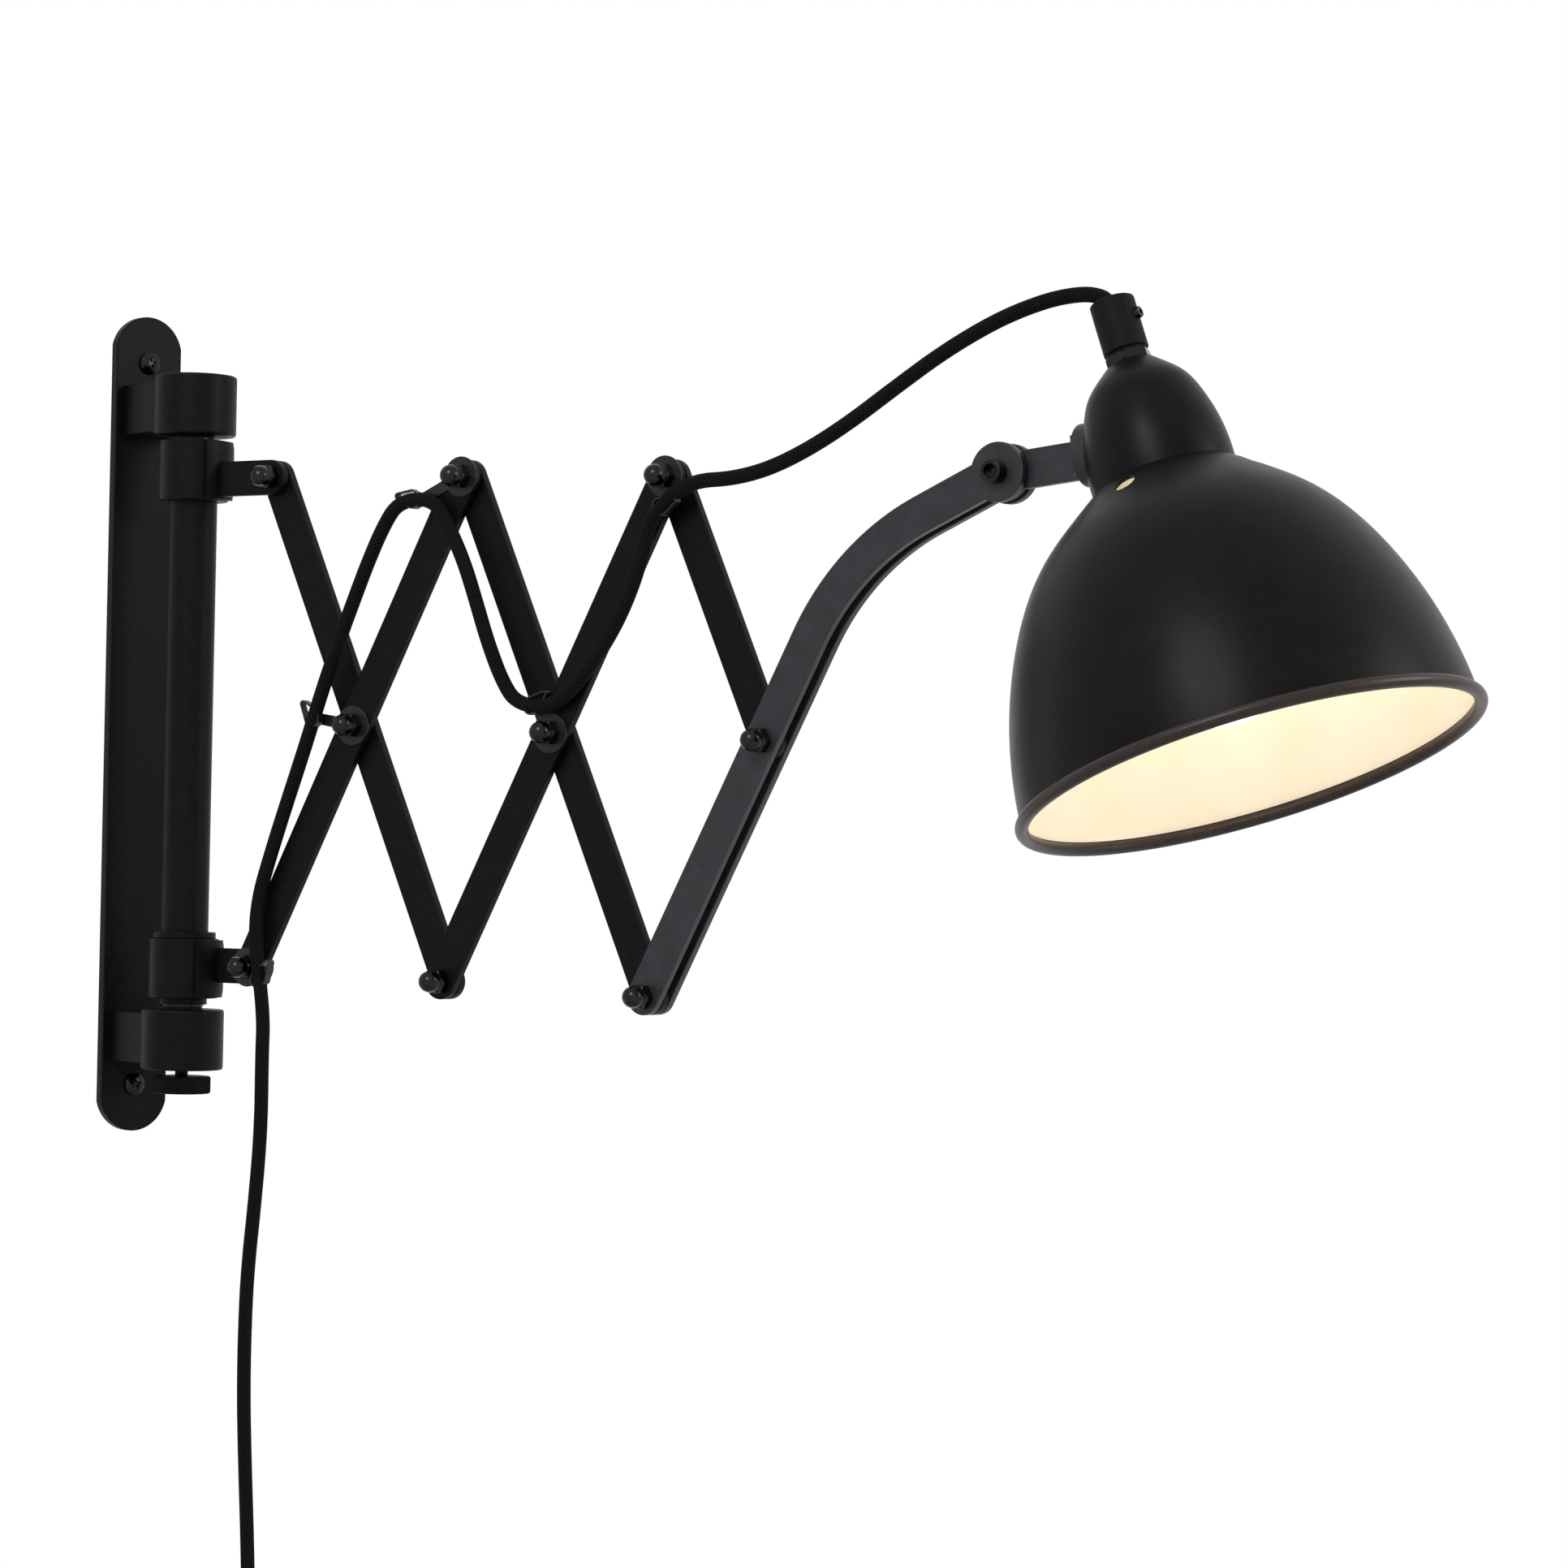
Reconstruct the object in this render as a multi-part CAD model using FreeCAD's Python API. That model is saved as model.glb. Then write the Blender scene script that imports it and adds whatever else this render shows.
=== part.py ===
"""Accordion wall lamp: a scissor arm on a vertical rail, with a spun steel shade.

The rail frame has +X out of the wall, +Z up, and its origin at the middle of the wall plate's back.
The tube and its collars are modelled in the tube's frame, with the tube's axis at x = y = 0, and are
swivelled about it. The arm is modelled flat, in its own frame: u along the arm, v across the layers
(away from the front), z up. That frame hangs from the upper tab's pivot, a little below square.
"""
import FreeCAD, Part
import math
import os

os.makedirs("parts", exist_ok=True)

V = FreeCAD.Vector

# ---------------------------------------------------------------- driving dimensions, in mm
RUN_CLEAR = 0.06            # radial clearance of a pin or tube that turns or slides
OPEN_CLEAR = 0.25           # radial clearance at the two pivots that close the linkage
FIXED_CLEAR = 0.03          # radial clearance of a piece that is clamped or pressed
BODY_GAP = 0.3              # gap between pieces that move past each other

PLATE_WIDTH = 35.0
PLATE_THICK = 5.0
PLATE_END_RISE = 14.0
PLATE_BEYOND_BLOCK = 31.0   # each end of the plate, past its block
HOLE_BEYOND_BLOCK = 9.0     # each wall hole, past its block
WALL_HOLE_R = 2.6

TUBE_STANDOFF = 42.0        # tube axis to the plate's front
TUBE_R = 11.0
TUBE_WALL = 2.0
SWIVEL_DEG = 18.0           # arm turned from the wall's normal
SAG_DEG = 1.66              # arm below square to the tube

BLOCK_R = 19.0
BLOCK_HEIGHT = 28.0
BLOCK_NECK_WIDTH = 26.0
BLOCK_NECK_HEIGHT = 23.0
BLOCK_TO_PIVOT = 20.65      # tab pivot to the face of the block above or below it
BLOCK_EDGE_R = 1.5
BLOCK_SCREW_R = 2.5
BLOCK_SCREW_HEAD_R = 5.0
BLOCK_SCREW_HEAD_LEN = 2.8
BLOCK_SCREW_LENGTH = 17.0
BLOCK_SCREW_SPACING = 12.0

JOURNAL_R = 6.0
JOURNAL_LENGTH = 18.0
BUSH_WALL = 2.0
BUSH_FLANGE_R = 9.0
BUSH_FLANGE_THICK = 1.0
PLUG_DEPTH = 20.0

COLLAR_R = 16.0
UPPER_COLLAR_HEIGHT = 28.0
LOWER_COLLAR_HEIGHT = 27.5
SLIDE_CLEAR = 0.7           # lets the lower collar follow the arm's small change of sag
SLIDE_BUSH_WALL = 1.6
SLIDE_BUSH_FLANGE_R = 14.5
SLIDE_BUSH_FLANGE_THICK = 3.0
LOWER_COLLAR_DROP = 15.5    # lower pivot to the lower collar's bottom face
GRUB_R = 2.5
GRUB_LENGTH = 5.0

UPPER_TAB_REACH = 47.8      # tube axis to the upper tab's pivot
FIRST_PIVOT_U = 44.0        # the first pivots, in the arm's frame
TAB_HEIGHT = 16.0
SADDLE_THICK = 2.5
SADDLE_INSET = 0.5          # saddle shorter than its collar, at each end
SADDLE_HALF_ANGLE = 32.0

HALF_BAR = 125.0            # pivot to pivot, half of a long bar
FOLD_DEG = 26.0             # bars from the vertical
BAR_WIDTH = 16.0
BAR_THICK = 4.0
LAYER_GAP = 0.8
SPACER_THICK = 0.7
FRONT_FACE = -3.25          # front of the front layer, across the arm
SPACER_R = 7.0

ARM_STRAIGHT = 48.4         # curved arm: middle pivot to the start of the bend
ARM_BEND_R = 115.0
ARM_TIP_DEG = 26.0          # last straight run above the horizontal
ARM_TIP_RUN = 39.9
ARM_BOSS_R = 12.5

BOLT_R = 3.0
BOLT_HEAD_R = 5.2
BOLT_HEAD_THICK = 3.4
NUT_FLATS = 10.0
NUT_HEX_HEIGHT = 5.0
NUT_DOME_R = 4.75
NUT_BARREL = 2.2
NUT_BORE_DEPTH = 8.5
SOCKET_HEAD_R = 5.0
SOCKET_HEAD_HEIGHT = 6.0
SOCKET_FLATS = 5.0
SOCKET_DEPTH = 3.2

THUMB_R = 13.5
THUMB_THICK = 8.0
THUMB_GAP = 3.0             # knob to the lower block
THUMB_THREAD_R = 3.0
THUMB_STOP = 2.0            # end of the shank below the block's upper face

HEAD_TAB_DEG = 8.2          # head tab above the horizontal
HEAD_TAB_REACH = 43.5       # head pivot to the flange's outer face
HEAD_TAB_HEIGHT = 16.0
FLANGE_SPAN = 19.3
FLANGE_THICK = 2.5
FLANGE_SCREW_OFFSET = 9.8   # screw in front of the tab's middle plane
ROSETTE_R = 13.0
ROSETTE_THICK = 3.0
TAB_SCREW_R = 2.5
TAB_SCREW_HEAD_R = 4.6
TAB_SCREW_HEAD_THICK = 3.0
TAB_NUT_FLATS = 8.0
TAB_NUT_THICK = 3.2
TAB_NUT_SEAT = 0.55         # nut's face off the neck's curved wall

SHADE_WALL = 1.2
SHADE_SCREW_S = 28.0        # screw below the top of the neck, along the shade's axis
SHADE_CONE_DEG = 14.2       # slope of the neck's wall at the screw
SHADE_ROLL_DEG = 3.0
SHADE_NECK = [(0.0, 10.0), (3.2, 13.6), (10.8, 20.9), (19.9, 25.1), (28.0, 27.5), (50.9, 29.6)]
SHADE_BELL = [(50.9, 29.6), (58.4, 39.2), (75.0, 58.0), (104.0, 76.7), (135.7, 88.0), (174.0, 93.5)]
BEAD_R = 2.7
VENT_R = 4.6
VENT_COUNT = 4
VENT_S = 57.5               # a vent's middle, along the axis and from it
VENT_OUT = 38.0
VENT_SLOPE_DEG = 38.0       # the vent's axis above the rim's plane

NIPPLE_R = 5.0
NIPPLE_BORE_R = 3.7
RING_NUT_FLATS = 17.0
RING_NUT_THICK = 4.0
GRIP_R = 9.3
GRIP_HEIGHT = 24.0
GRIP_EDGE_R = 1.2
GRIP_FOOT_R = 7.9
GRIP_FOOT_HEIGHT = 1.5
GRIP_MOUTH_R = 6.4          # the mouth is flared where the cord bends over it
GRIP_MOUTH_DEPTH = 6.0
GRIP_SCREW_R = 2.6
GRIP_SCREW_PROUD = 1.8
GRIP_SCREW_DROP = 9.0       # screw below the grip's top
HOLDER_CAP_R = 14.0
HOLDER_CAP_TOP_R = 10.0
HOLDER_CAP_CONE = 6.0
INNER_NUT_FLATS = 14.0
HOLDER_CAP_HEIGHT = 22.0
HOLDER_SKIRT_R = 19.5
HOLDER_SKIRT_HEIGHT = 34.0
HOLDER_TOP_S = 4.0
BULB_R = 30.0
BULB_TIP_S = 155.0
BULB_NECK_R = 13.2
BULB_NECK_DEPTH = 22.0
BULB_JOINT = 8.0            # ball's middle to where the pear's flank meets it

CORD_D = 6.4
CORD_CLEAR = 0.05
CLIP_THICK = 0.8
CLIP_EYE_R = 9.0
CLIP_WIDTH = 5.0
CLIP_CLEAR = 0.12
CLIP_LOOP_LIFT = 0.15       # loop in front of its strap
COIL_MEAN_R = 35.0
COIL_SECTION_W = 20.5
COIL_SECTION_H = 14.0
COIL_Z = -440.0
TAIL_DROP = 34.0
PLUG_WIDTH = 26.0
PLUG_DEPTH_Y = 13.6
PLUG_BODY_LENGTH = 35.0
PLUG_PIN_R = 2.0
PLUG_PIN_LENGTH = 19.0
PLUG_PIN_ROOT = 8.0
PLUG_PIN_SPACING = 18.6
THROUGH = 60.0              # half-length of a tool that cuts right through

# ---------------------------------------------------------------- derived places
fold = math.radians(FOLD_DEG)
CELL = HALF_BAR * math.sin(fold)
ROW = HALF_BAR * math.cos(fold)
LAYER = BAR_THICK + LAYER_GAP
V_FRONT = FRONT_FACE + BAR_THICK / 2    # middle of the front layer: rising bars, arm's front plate
V_BACK = V_FRONT + LAYER    # middle of the back layer (falling bars)
V_REAR = V_BACK + LAYER     # middle of the curved arm's rear plate
BACK_FACE = V_BACK + BAR_THICK / 2
REAR_FACE = V_REAR + BAR_THICK / 2
MID_SPACER = (V_FRONT + V_BACK) / 2
REAR_SPACER = (V_BACK + V_REAR) / 2
BLOCK_INNER_Z = round(ROW + BLOCK_TO_PIVOT, 1)      # face of each block that looks at the tube
PLATE_HEIGHT = 2 * (BLOCK_INNER_Z + BLOCK_HEIGHT + PLATE_BEYOND_BLOCK)
WALL_HOLE_SPACING = 2 * (BLOCK_INNER_Z + BLOCK_HEIGHT + HOLE_BEYOND_BLOCK)
TUBE_X = PLATE_THICK + TUBE_STANDOFF
CORD_V = FRONT_FACE - BODY_GAP - CLIP_THICK - CLIP_LOOP_LIFT - CLIP_CLEAR - CORD_D / 2   # clipped cord


def top(i):
    return FIRST_PIVOT_U + 2 * CELL * i, ROW


def bottom(i):
    return FIRST_PIVOT_U + 2 * CELL * i, -ROW


def middle(i):
    return FIRST_PIVOT_U + CELL * (2 * i - 1), 0.0


tip = math.radians(ARM_TIP_DEG)
rise = math.radians(90.0 - FOLD_DEG)
BEND_START = (middle(3)[0] + ARM_STRAIGHT * math.cos(rise), ARM_STRAIGHT * math.sin(rise))
BEND_CENTRE = (BEND_START[0] + ARM_BEND_R * math.sin(rise), BEND_START[1] - ARM_BEND_R * math.cos(rise))
BEND_END = (BEND_CENTRE[0] - ARM_BEND_R * math.sin(tip), BEND_CENTRE[1] + ARM_BEND_R * math.cos(tip))
HEAD = (BEND_END[0] + ARM_TIP_RUN * math.cos(tip), BEND_END[1] + ARM_TIP_RUN * math.sin(tip))

tube_placement = FreeCAD.Placement(V(TUBE_X, 0, 0), FreeCAD.Rotation(V(0, 0, 1), SWIVEL_DEG))
arm_hang = FreeCAD.Placement(V(UPPER_TAB_REACH, 0, ROW), FreeCAD.Rotation(V(0, 1, 0), SAG_DEG))
arm_on_tube = arm_hang.multiply(FreeCAD.Placement(V(-FIRST_PIVOT_U, 0, -ROW), FreeCAD.Rotation()))
arm_placement = tube_placement.multiply(arm_on_tube)
lower_pivot = arm_on_tube.multVec(V(bottom(0)[0], 0, bottom(0)[1]))     # in the tube's frame
head_placement = FreeCAD.Placement(V(HEAD[0], 0, HEAD[1]), FreeCAD.Rotation(V(0, 1, 0), -HEAD_TAB_DEG))
shade_radius_at_screw = SHADE_NECK[4][1]
shade_turn = FreeCAD.Rotation(V(0, 1, 0), -SHADE_CONE_DEG)
screw_on_shade = V(-shade_radius_at_screw, 0, -SHADE_SCREW_S)
screw_at = V(HEAD_TAB_REACH + ROSETTE_THICK, V_BACK - FLANGE_SCREW_OFFSET, 0)
roll_turn = FreeCAD.Rotation(V(1, 0, 0), -SHADE_ROLL_DEG)
shade_in_head = FreeCAD.Placement(screw_at - roll_turn.multVec(shade_turn.multVec(screw_on_shade)),
                                  roll_turn.multiply(shade_turn))
shade_placement = head_placement.multiply(shade_in_head)

nodes = {}


def place(shape, *placements):
    """Carries a shape through the placements, the innermost first."""
    for placement in placements:
        shape = shape.copy()
        shape.Placement = placement.multiply(shape.Placement)
    return shape


def on_tube(name, shape):
    nodes[name] = place(shape, tube_placement)


def on_arm(name, shape):
    nodes[name] = place(shape, arm_placement)


def on_head(name, shape):
    nodes[name] = place(shape, head_placement, arm_placement)


def on_shade(name, shape):
    nodes[name] = place(shape, shade_placement, arm_placement)


# ---------------------------------------------------------------- basic forms
def cylinder(radius, length, base, axis):
    return Part.makeCylinder(radius, length, base, axis)


def across(radius, v0, v1, at):
    """A cylinder across the layers, from v0 to v1, at a pivot of the arm."""
    return cylinder(radius, v1 - v0, V(at[0], v0, at[1]), V(0, 1, 0))


def upright(radius, z0, z1, x=0.0, y=0.0):
    return cylinder(radius, z1 - z0, V(x, y, z0), V(0, 0, 1))


def hexagon(flats, length, base, axis, turn_deg=0.0):
    """A hexagonal prism that starts at base and runs along axis."""
    radius = flats / math.sqrt(3.0)
    corners = [V(radius * math.cos(math.radians(turn_deg + 60 * i)),
                 radius * math.sin(math.radians(turn_deg + 60 * i)), 0) for i in range(6)]
    prism = Part.Face(Part.makePolygon(corners + corners[:1])).extrude(V(0, 0, length))
    prism.Placement = FreeCAD.Placement(base, FreeCAD.Rotation(V(0, 0, 1), axis))
    return prism


def strip_edges(points, radius):
    """Two parallel edges and two round ends around the straight line between two points."""
    (u0, z0), (u1, z1) = points
    length = math.hypot(u1 - u0, z1 - z0)
    du, dz = (u1 - u0) / length, (z1 - z0) / length
    nu, nz = -dz * radius, du * radius
    a, b = V(u0 + nu, 0, z0 + nz), V(u1 + nu, 0, z1 + nz)
    c, d = V(u1 - nu, 0, z1 - nz), V(u0 - nu, 0, z0 - nz)
    far = V(u1 + du * radius, 0, z1 + dz * radius)
    near = V(u0 - du * radius, 0, z0 - dz * radius)
    return [Part.LineSegment(a, b).toShape(), Part.Arc(b, far, c).toShape(),
            Part.LineSegment(c, d).toShape(), Part.Arc(d, near, a).toShape()]


def flat_bar(start, end, v_mid, width=BAR_WIDTH, thick=BAR_THICK):
    """A flat bar with round ends, its length from pivot to pivot."""
    face = Part.Face(Part.Wire(strip_edges((start, end), width / 2)))
    bar = face.extrude(V(0, thick, 0))
    bar.translate(V(0, v_mid - thick / 2, 0))
    return bar


def turned(edges):
    """A solid of revolution about z from the edges of its half section."""
    solid = Part.Face(Part.Wire(Part.__sortEdges__(edges))).revolve(V(0, 0, 0), V(0, 0, 1), 360)
    return solid if solid.Volume > 0 else Part.Solid(solid.Shells[0].reversed())


def drilled(shape, holes):
    """Cuts holes across the layers: each is a place and a radius."""
    for at, radius in holes:
        shape = shape.cut(across(radius, -THROUGH, THROUGH, at))
    return shape


# ---------------------------------------------------------------- rail on the wall
def wall_plate():
    half_w, half_h = PLATE_WIDTH / 2, PLATE_HEIGHT / 2
    side = half_h - PLATE_END_RISE
    a, b = V(0, -half_w, side), V(0, half_w, side)
    c, d = V(0, half_w, -side), V(0, -half_w, -side)
    outline = Part.Wire([Part.Arc(a, V(0, 0, half_h), b).toShape(), Part.LineSegment(b, c).toShape(),
                         Part.Arc(c, V(0, 0, -half_h), d).toShape(), Part.LineSegment(d, a).toShape()])
    plate = Part.Face(outline).extrude(V(PLATE_THICK, 0, 0))
    for z in (-WALL_HOLE_SPACING / 2, WALL_HOLE_SPACING / 2):
        plate = plate.cut(cylinder(WALL_HOLE_R, PLATE_THICK, V(0, 0, z), V(1, 0, 0)))
    for z in block_screw_heights():
        plate = plate.cut(block_screw(z, FIXED_CLEAR))
    return plate


def block_middle(side):
    return side * (BLOCK_INNER_Z + BLOCK_HEIGHT / 2)


def block_screw_heights():
    return [block_middle(side) + k * BLOCK_SCREW_SPACING / 2 for side in (1, -1) for k in (-1, 1)]


def block_screw(z, extra=0.0):
    """A countersunk screw from the plate's back into a block's neck."""
    head = Part.makeCone(BLOCK_SCREW_HEAD_R + extra, BLOCK_SCREW_R + extra, BLOCK_SCREW_HEAD_LEN + extra,
                         V(0, 0, z), V(1, 0, 0))
    return head.fuse(cylinder(BLOCK_SCREW_R + extra, BLOCK_SCREW_LENGTH + extra, V(0, 0, z), V(1, 0, 0)))


def block(side):
    """An end block: a round boss on the tube's axis, and a neck that meets the plate."""
    inner, outer = side * BLOCK_INNER_Z, side * (BLOCK_INNER_Z + BLOCK_HEIGHT)
    low, high = min(inner, outer), max(inner, outer)
    boss = upright(BLOCK_R, low, high, TUBE_X)
    boss = boss.makeFillet(BLOCK_EDGE_R, [e for e in boss.Edges if e.Closed and len(e.Vertexes) == 1
                                          and abs(e.BoundBox.ZLength) < 1e-6])
    neck = Part.makeBox(TUBE_X - PLATE_THICK, BLOCK_NECK_WIDTH, BLOCK_NECK_HEIGHT,
                        V(PLATE_THICK, -BLOCK_NECK_WIDTH / 2, block_middle(side) - BLOCK_NECK_HEIGHT / 2))
    body = boss.fuse(neck).removeSplitter()
    bush_r = JOURNAL_R + RUN_CLEAR + BUSH_WALL + FIXED_CLEAR
    mouth = side * (BLOCK_INNER_Z - 1)
    end = side * (BLOCK_INNER_Z + JOURNAL_LENGTH + 1)
    body = body.cut(upright(bush_r, min(mouth, end), max(mouth, end), TUBE_X))
    if side < 0:
        body = body.cut(upright(THUMB_THREAD_R + RUN_CLEAR, outer - 1, inner + 1, TUBE_X))
    for z in block_screw_heights():
        body = body.cut(block_screw(z, FIXED_CLEAR))
    return body


def pivot_bush(side):
    """A flanged bronze bush, its flange between the block and the tube's shoulder."""
    inner = side * BLOCK_INNER_Z
    sleeve_end = side * (BLOCK_INNER_Z + JOURNAL_LENGTH)
    flange_end = side * (BLOCK_INNER_Z - BUSH_FLANGE_THICK)
    outer_r = JOURNAL_R + RUN_CLEAR + BUSH_WALL
    bush = upright(outer_r, min(inner, sleeve_end), max(inner, sleeve_end), TUBE_X)
    bush = bush.fuse(upright(BUSH_FLANGE_R, min(inner, flange_end), max(inner, flange_end), TUBE_X))
    return bush.cut(upright(JOURNAL_R + RUN_CLEAR, -PLATE_HEIGHT, PLATE_HEIGHT, TUBE_X)).removeSplitter()


def thumb_screw():
    """Knurled knob on a threaded shank that locks the tube from below."""
    top_z = -(BLOCK_INNER_Z + BLOCK_HEIGHT) - THUMB_GAP
    knob = upright(THUMB_R, top_z - THUMB_THICK, top_z, TUBE_X)
    knob = knob.makeChamfer(0.8, [e for e in knob.Edges if abs(e.BoundBox.ZLength) < 1e-6])
    shank = upright(THUMB_THREAD_R, top_z, -BLOCK_INNER_Z - THUMB_STOP, TUBE_X)
    return knob.fuse(shank).removeSplitter()


nodes["wall_plate"] = wall_plate()
nodes["upper_block"] = block(1)
nodes["lower_block"] = block(-1)
nodes["block_screws"] = Part.makeCompound([block_screw(z) for z in block_screw_heights()])
nodes["pivot_bushes"] = Part.makeCompound([pivot_bush(1), pivot_bush(-1)])
nodes["thumb_screw"] = thumb_screw()

# ---------------------------------------------------------------- turning tube and upper collar
SHOULDER_Z = BLOCK_INNER_Z - BUSH_FLANGE_THICK - BODY_GAP
TUBE_END_Z = SHOULDER_Z - 1.0


def slide_tube():
    tube = upright(TUBE_R, -TUBE_END_Z, TUBE_END_Z)
    return tube.cut(upright(TUBE_R - TUBE_WALL, -TUBE_END_Z, TUBE_END_Z))


def pivot_plug(side):
    """A turned plug in the tube's end, with a shoulder and the journal that runs in the block."""
    start = side * (TUBE_END_Z - PLUG_DEPTH)
    seat = side * TUBE_END_Z
    shoulder = side * SHOULDER_Z
    end = side * (BLOCK_INNER_Z + JOURNAL_LENGTH - 1.0)
    plug = upright(TUBE_R - TUBE_WALL - FIXED_CLEAR, min(start, seat), max(start, seat))
    plug = plug.fuse(upright(TUBE_R - 1.5, min(seat, shoulder), max(seat, shoulder)))
    plug = plug.fuse(upright(JOURNAL_R, min(shoulder, end), max(shoulder, end)))
    if side < 0:
        plug = plug.cut(upright(THUMB_THREAD_R + RUN_CLEAR, -PLATE_HEIGHT, -BLOCK_INNER_Z - THUMB_STOP / 2))
    return plug.removeSplitter()


UPPER_COLLAR_TOP = TUBE_END_Z


def ring(outer_r, inner_r, z0, z1):
    return upright(outer_r, z0, z1).cut(upright(inner_r, z0, z1))


def upper_collar():
    low = UPPER_COLLAR_TOP - UPPER_COLLAR_HEIGHT
    collar = ring(COLLAR_R, TUBE_R + FIXED_CLEAR, low, UPPER_COLLAR_TOP)
    return collar.cut(cylinder(GRUB_R + FIXED_CLEAR, COLLAR_R, V(-COLLAR_R - 1, 0, grub_z()), V(1, 0, 0)))


def grub_z():
    return UPPER_COLLAR_TOP - UPPER_COLLAR_HEIGHT / 2


def collar_tab(reach, z_pivot, v_mid, low, high):
    """A flat tab with a curved saddle that lies on its collar, from low to high, and is welded there."""
    inner_r = COLLAR_R + FIXED_CLEAR
    low, high = low + SADDLE_INSET, high - SADDLE_INSET
    saddle = ring(inner_r + SADDLE_THICK, inner_r, low, high)
    far = 2 * COLLAR_R
    side = far * math.tan(math.radians(SADDLE_HALF_ANGLE))
    wedge = Part.Face(Part.makePolygon([V(0, 0, low), V(far, -side, low), V(far, side, low), V(0, 0, low)]))
    saddle = saddle.common(wedge.extrude(V(0, 0, high - low)))
    root_x = COLLAR_R + SADDLE_THICK - TAB_HEIGHT
    tab = flat_bar((root_x, z_pivot), (reach, z_pivot), v_mid, TAB_HEIGHT)
    tab = tab.cut(upright(inner_r + SADDLE_THICK / 2, z_pivot - TAB_HEIGHT, z_pivot + TAB_HEIGHT))
    tab = tab.fuse(saddle).removeSplitter()
    return drilled(tab, [((reach, z_pivot), BOLT_R + FIXED_CLEAR)])


on_tube("slide_tube", slide_tube())
on_tube("upper_pivot_plug", pivot_plug(1))
on_tube("lower_pivot_plug", pivot_plug(-1))
on_tube("upper_collar", upper_collar())
grub = cylinder(GRUB_R, GRUB_LENGTH - FIXED_CLEAR, V(-COLLAR_R, 0, grub_z()), V(1, 0, 0))
on_tube("collar_grub_screw", grub.cut(upright(TUBE_R + FIXED_CLEAR, 0, UPPER_COLLAR_TOP)))
on_tube("upper_tab", collar_tab(UPPER_TAB_REACH, ROW, V_FRONT, UPPER_COLLAR_TOP - UPPER_COLLAR_HEIGHT,
                                UPPER_COLLAR_TOP))


# ---------------------------------------------------------------- lower collar that slides
LOWER_COLLAR_LOW = lower_pivot.z - LOWER_COLLAR_DROP
LOWER_COLLAR_HIGH = LOWER_COLLAR_LOW + LOWER_COLLAR_HEIGHT


def lower_slide_parts():
    low, high = LOWER_COLLAR_LOW, LOWER_COLLAR_HIGH
    bore_r = TUBE_R + SLIDE_CLEAR
    bush_r = bore_r + SLIDE_BUSH_WALL
    collar = ring(COLLAR_R, bush_r + FIXED_CLEAR, low, high)
    top_z = high + SLIDE_BUSH_FLANGE_THICK
    bush = upright(bush_r, low, high).fuse(upright(SLIDE_BUSH_FLANGE_R, high, top_z))
    return collar, bush.cut(upright(bore_r, low, top_z)).removeSplitter()


lower_collar, slide_bush = lower_slide_parts()
on_tube("lower_collar", lower_collar)
on_tube("slide_bush", slide_bush)
on_tube("lower_tab", collar_tab(lower_pivot.x, lower_pivot.z, V_BACK, LOWER_COLLAR_LOW, LOWER_COLLAR_HIGH))


# ---------------------------------------------------------------- pivots
def pivot_bolt(at, back_face, nut_face):
    """A button-head bolt from behind, its end inside the cap nut."""
    shank = across(BOLT_R, nut_face - NUT_BORE_DEPTH + 1.0, back_face, at)
    head = across(BOLT_HEAD_R, back_face, back_face + BOLT_HEAD_THICK, at)
    head = head.makeFillet(BOLT_HEAD_THICK * 0.45, [e for e in head.Edges if e.Closed
                                                   and e.BoundBox.YMin > back_face + 0.1
                                                   and e.BoundBox.YLength < 1e-6])
    return head.fuse(shank).removeSplitter()


def cap_nut(at, face, turn_deg):
    """A domed cap nut: hexagon, short barrel and half a ball."""
    base = V(at[0], face, at[1])
    nut = hexagon(NUT_FLATS, NUT_HEX_HEIGHT, base, V(0, -1, 0), turn_deg)
    barrel_end = face - NUT_HEX_HEIGHT - NUT_BARREL
    nut = nut.fuse(across(NUT_DOME_R, barrel_end, face - NUT_HEX_HEIGHT / 2, at))
    nut = nut.fuse(Part.makeSphere(NUT_DOME_R, V(at[0], barrel_end, at[1])))
    return nut.cut(across(BOLT_R + FIXED_CLEAR, face - NUT_BORE_DEPTH, face, at)).removeSplitter()


def spacer(at, v_mid):
    """A thin washer between two layers."""
    disc = across(SPACER_R, v_mid - SPACER_THICK / 2, v_mid + SPACER_THICK / 2, at)
    return disc.cut(across(BOLT_R + RUN_CLEAR, v_mid - 1, v_mid + 1, at))


def pivot_set(name, pivots, back_face=BACK_FACE, spacer_places=(MID_SPACER,), clipped=False,
              own_front=True, nut_turn=30.0):
    """The bolts, spacers and cap nuts of one body's pivots, clear of the bar that turns on them."""
    nut_face = FRONT_FACE
    if own_front and back_face == BACK_FACE:
        back_face = back_face + BODY_GAP
    if not own_front:
        nut_face -= BODY_GAP
    if clipped:
        nut_face -= CLIP_THICK
    bolts = [pivot_bolt(at, back_face, nut_face) for at in pivots]
    spacers = [spacer(at, v) for at in pivots for v in spacer_places]
    on_arm(name + ("_bolts" if len(pivots) > 1 else "_bolt"), Part.makeCompound(bolts + spacers))
    nuts = [cap_nut(at, nut_face, nut_turn) for at in pivots]
    on_arm(name + ("_cap_nuts" if len(pivots) > 1 else "_cap_nut"), Part.makeCompound(nuts))


pivot_set("upper_tab", [top(0)])
CLIP_NUT_TURN = 42.0        # a flat of the lower tab's nut faces the cord
pivot_set("lower_tab", [bottom(0)], clipped=True, own_front=False, nut_turn=CLIP_NUT_TURN)
pivot_set("bar_a1", [bottom(1)], own_front=False)
pivot_set("bar_b1", [middle(1), top(1)], clipped=True)
pivot_set("bar_b2", [middle(2), top(2)], clipped=True)
pivot_set("arm", [bottom(2), middle(3)], REAR_FACE, (MID_SPACER, REAR_SPACER))

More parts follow.
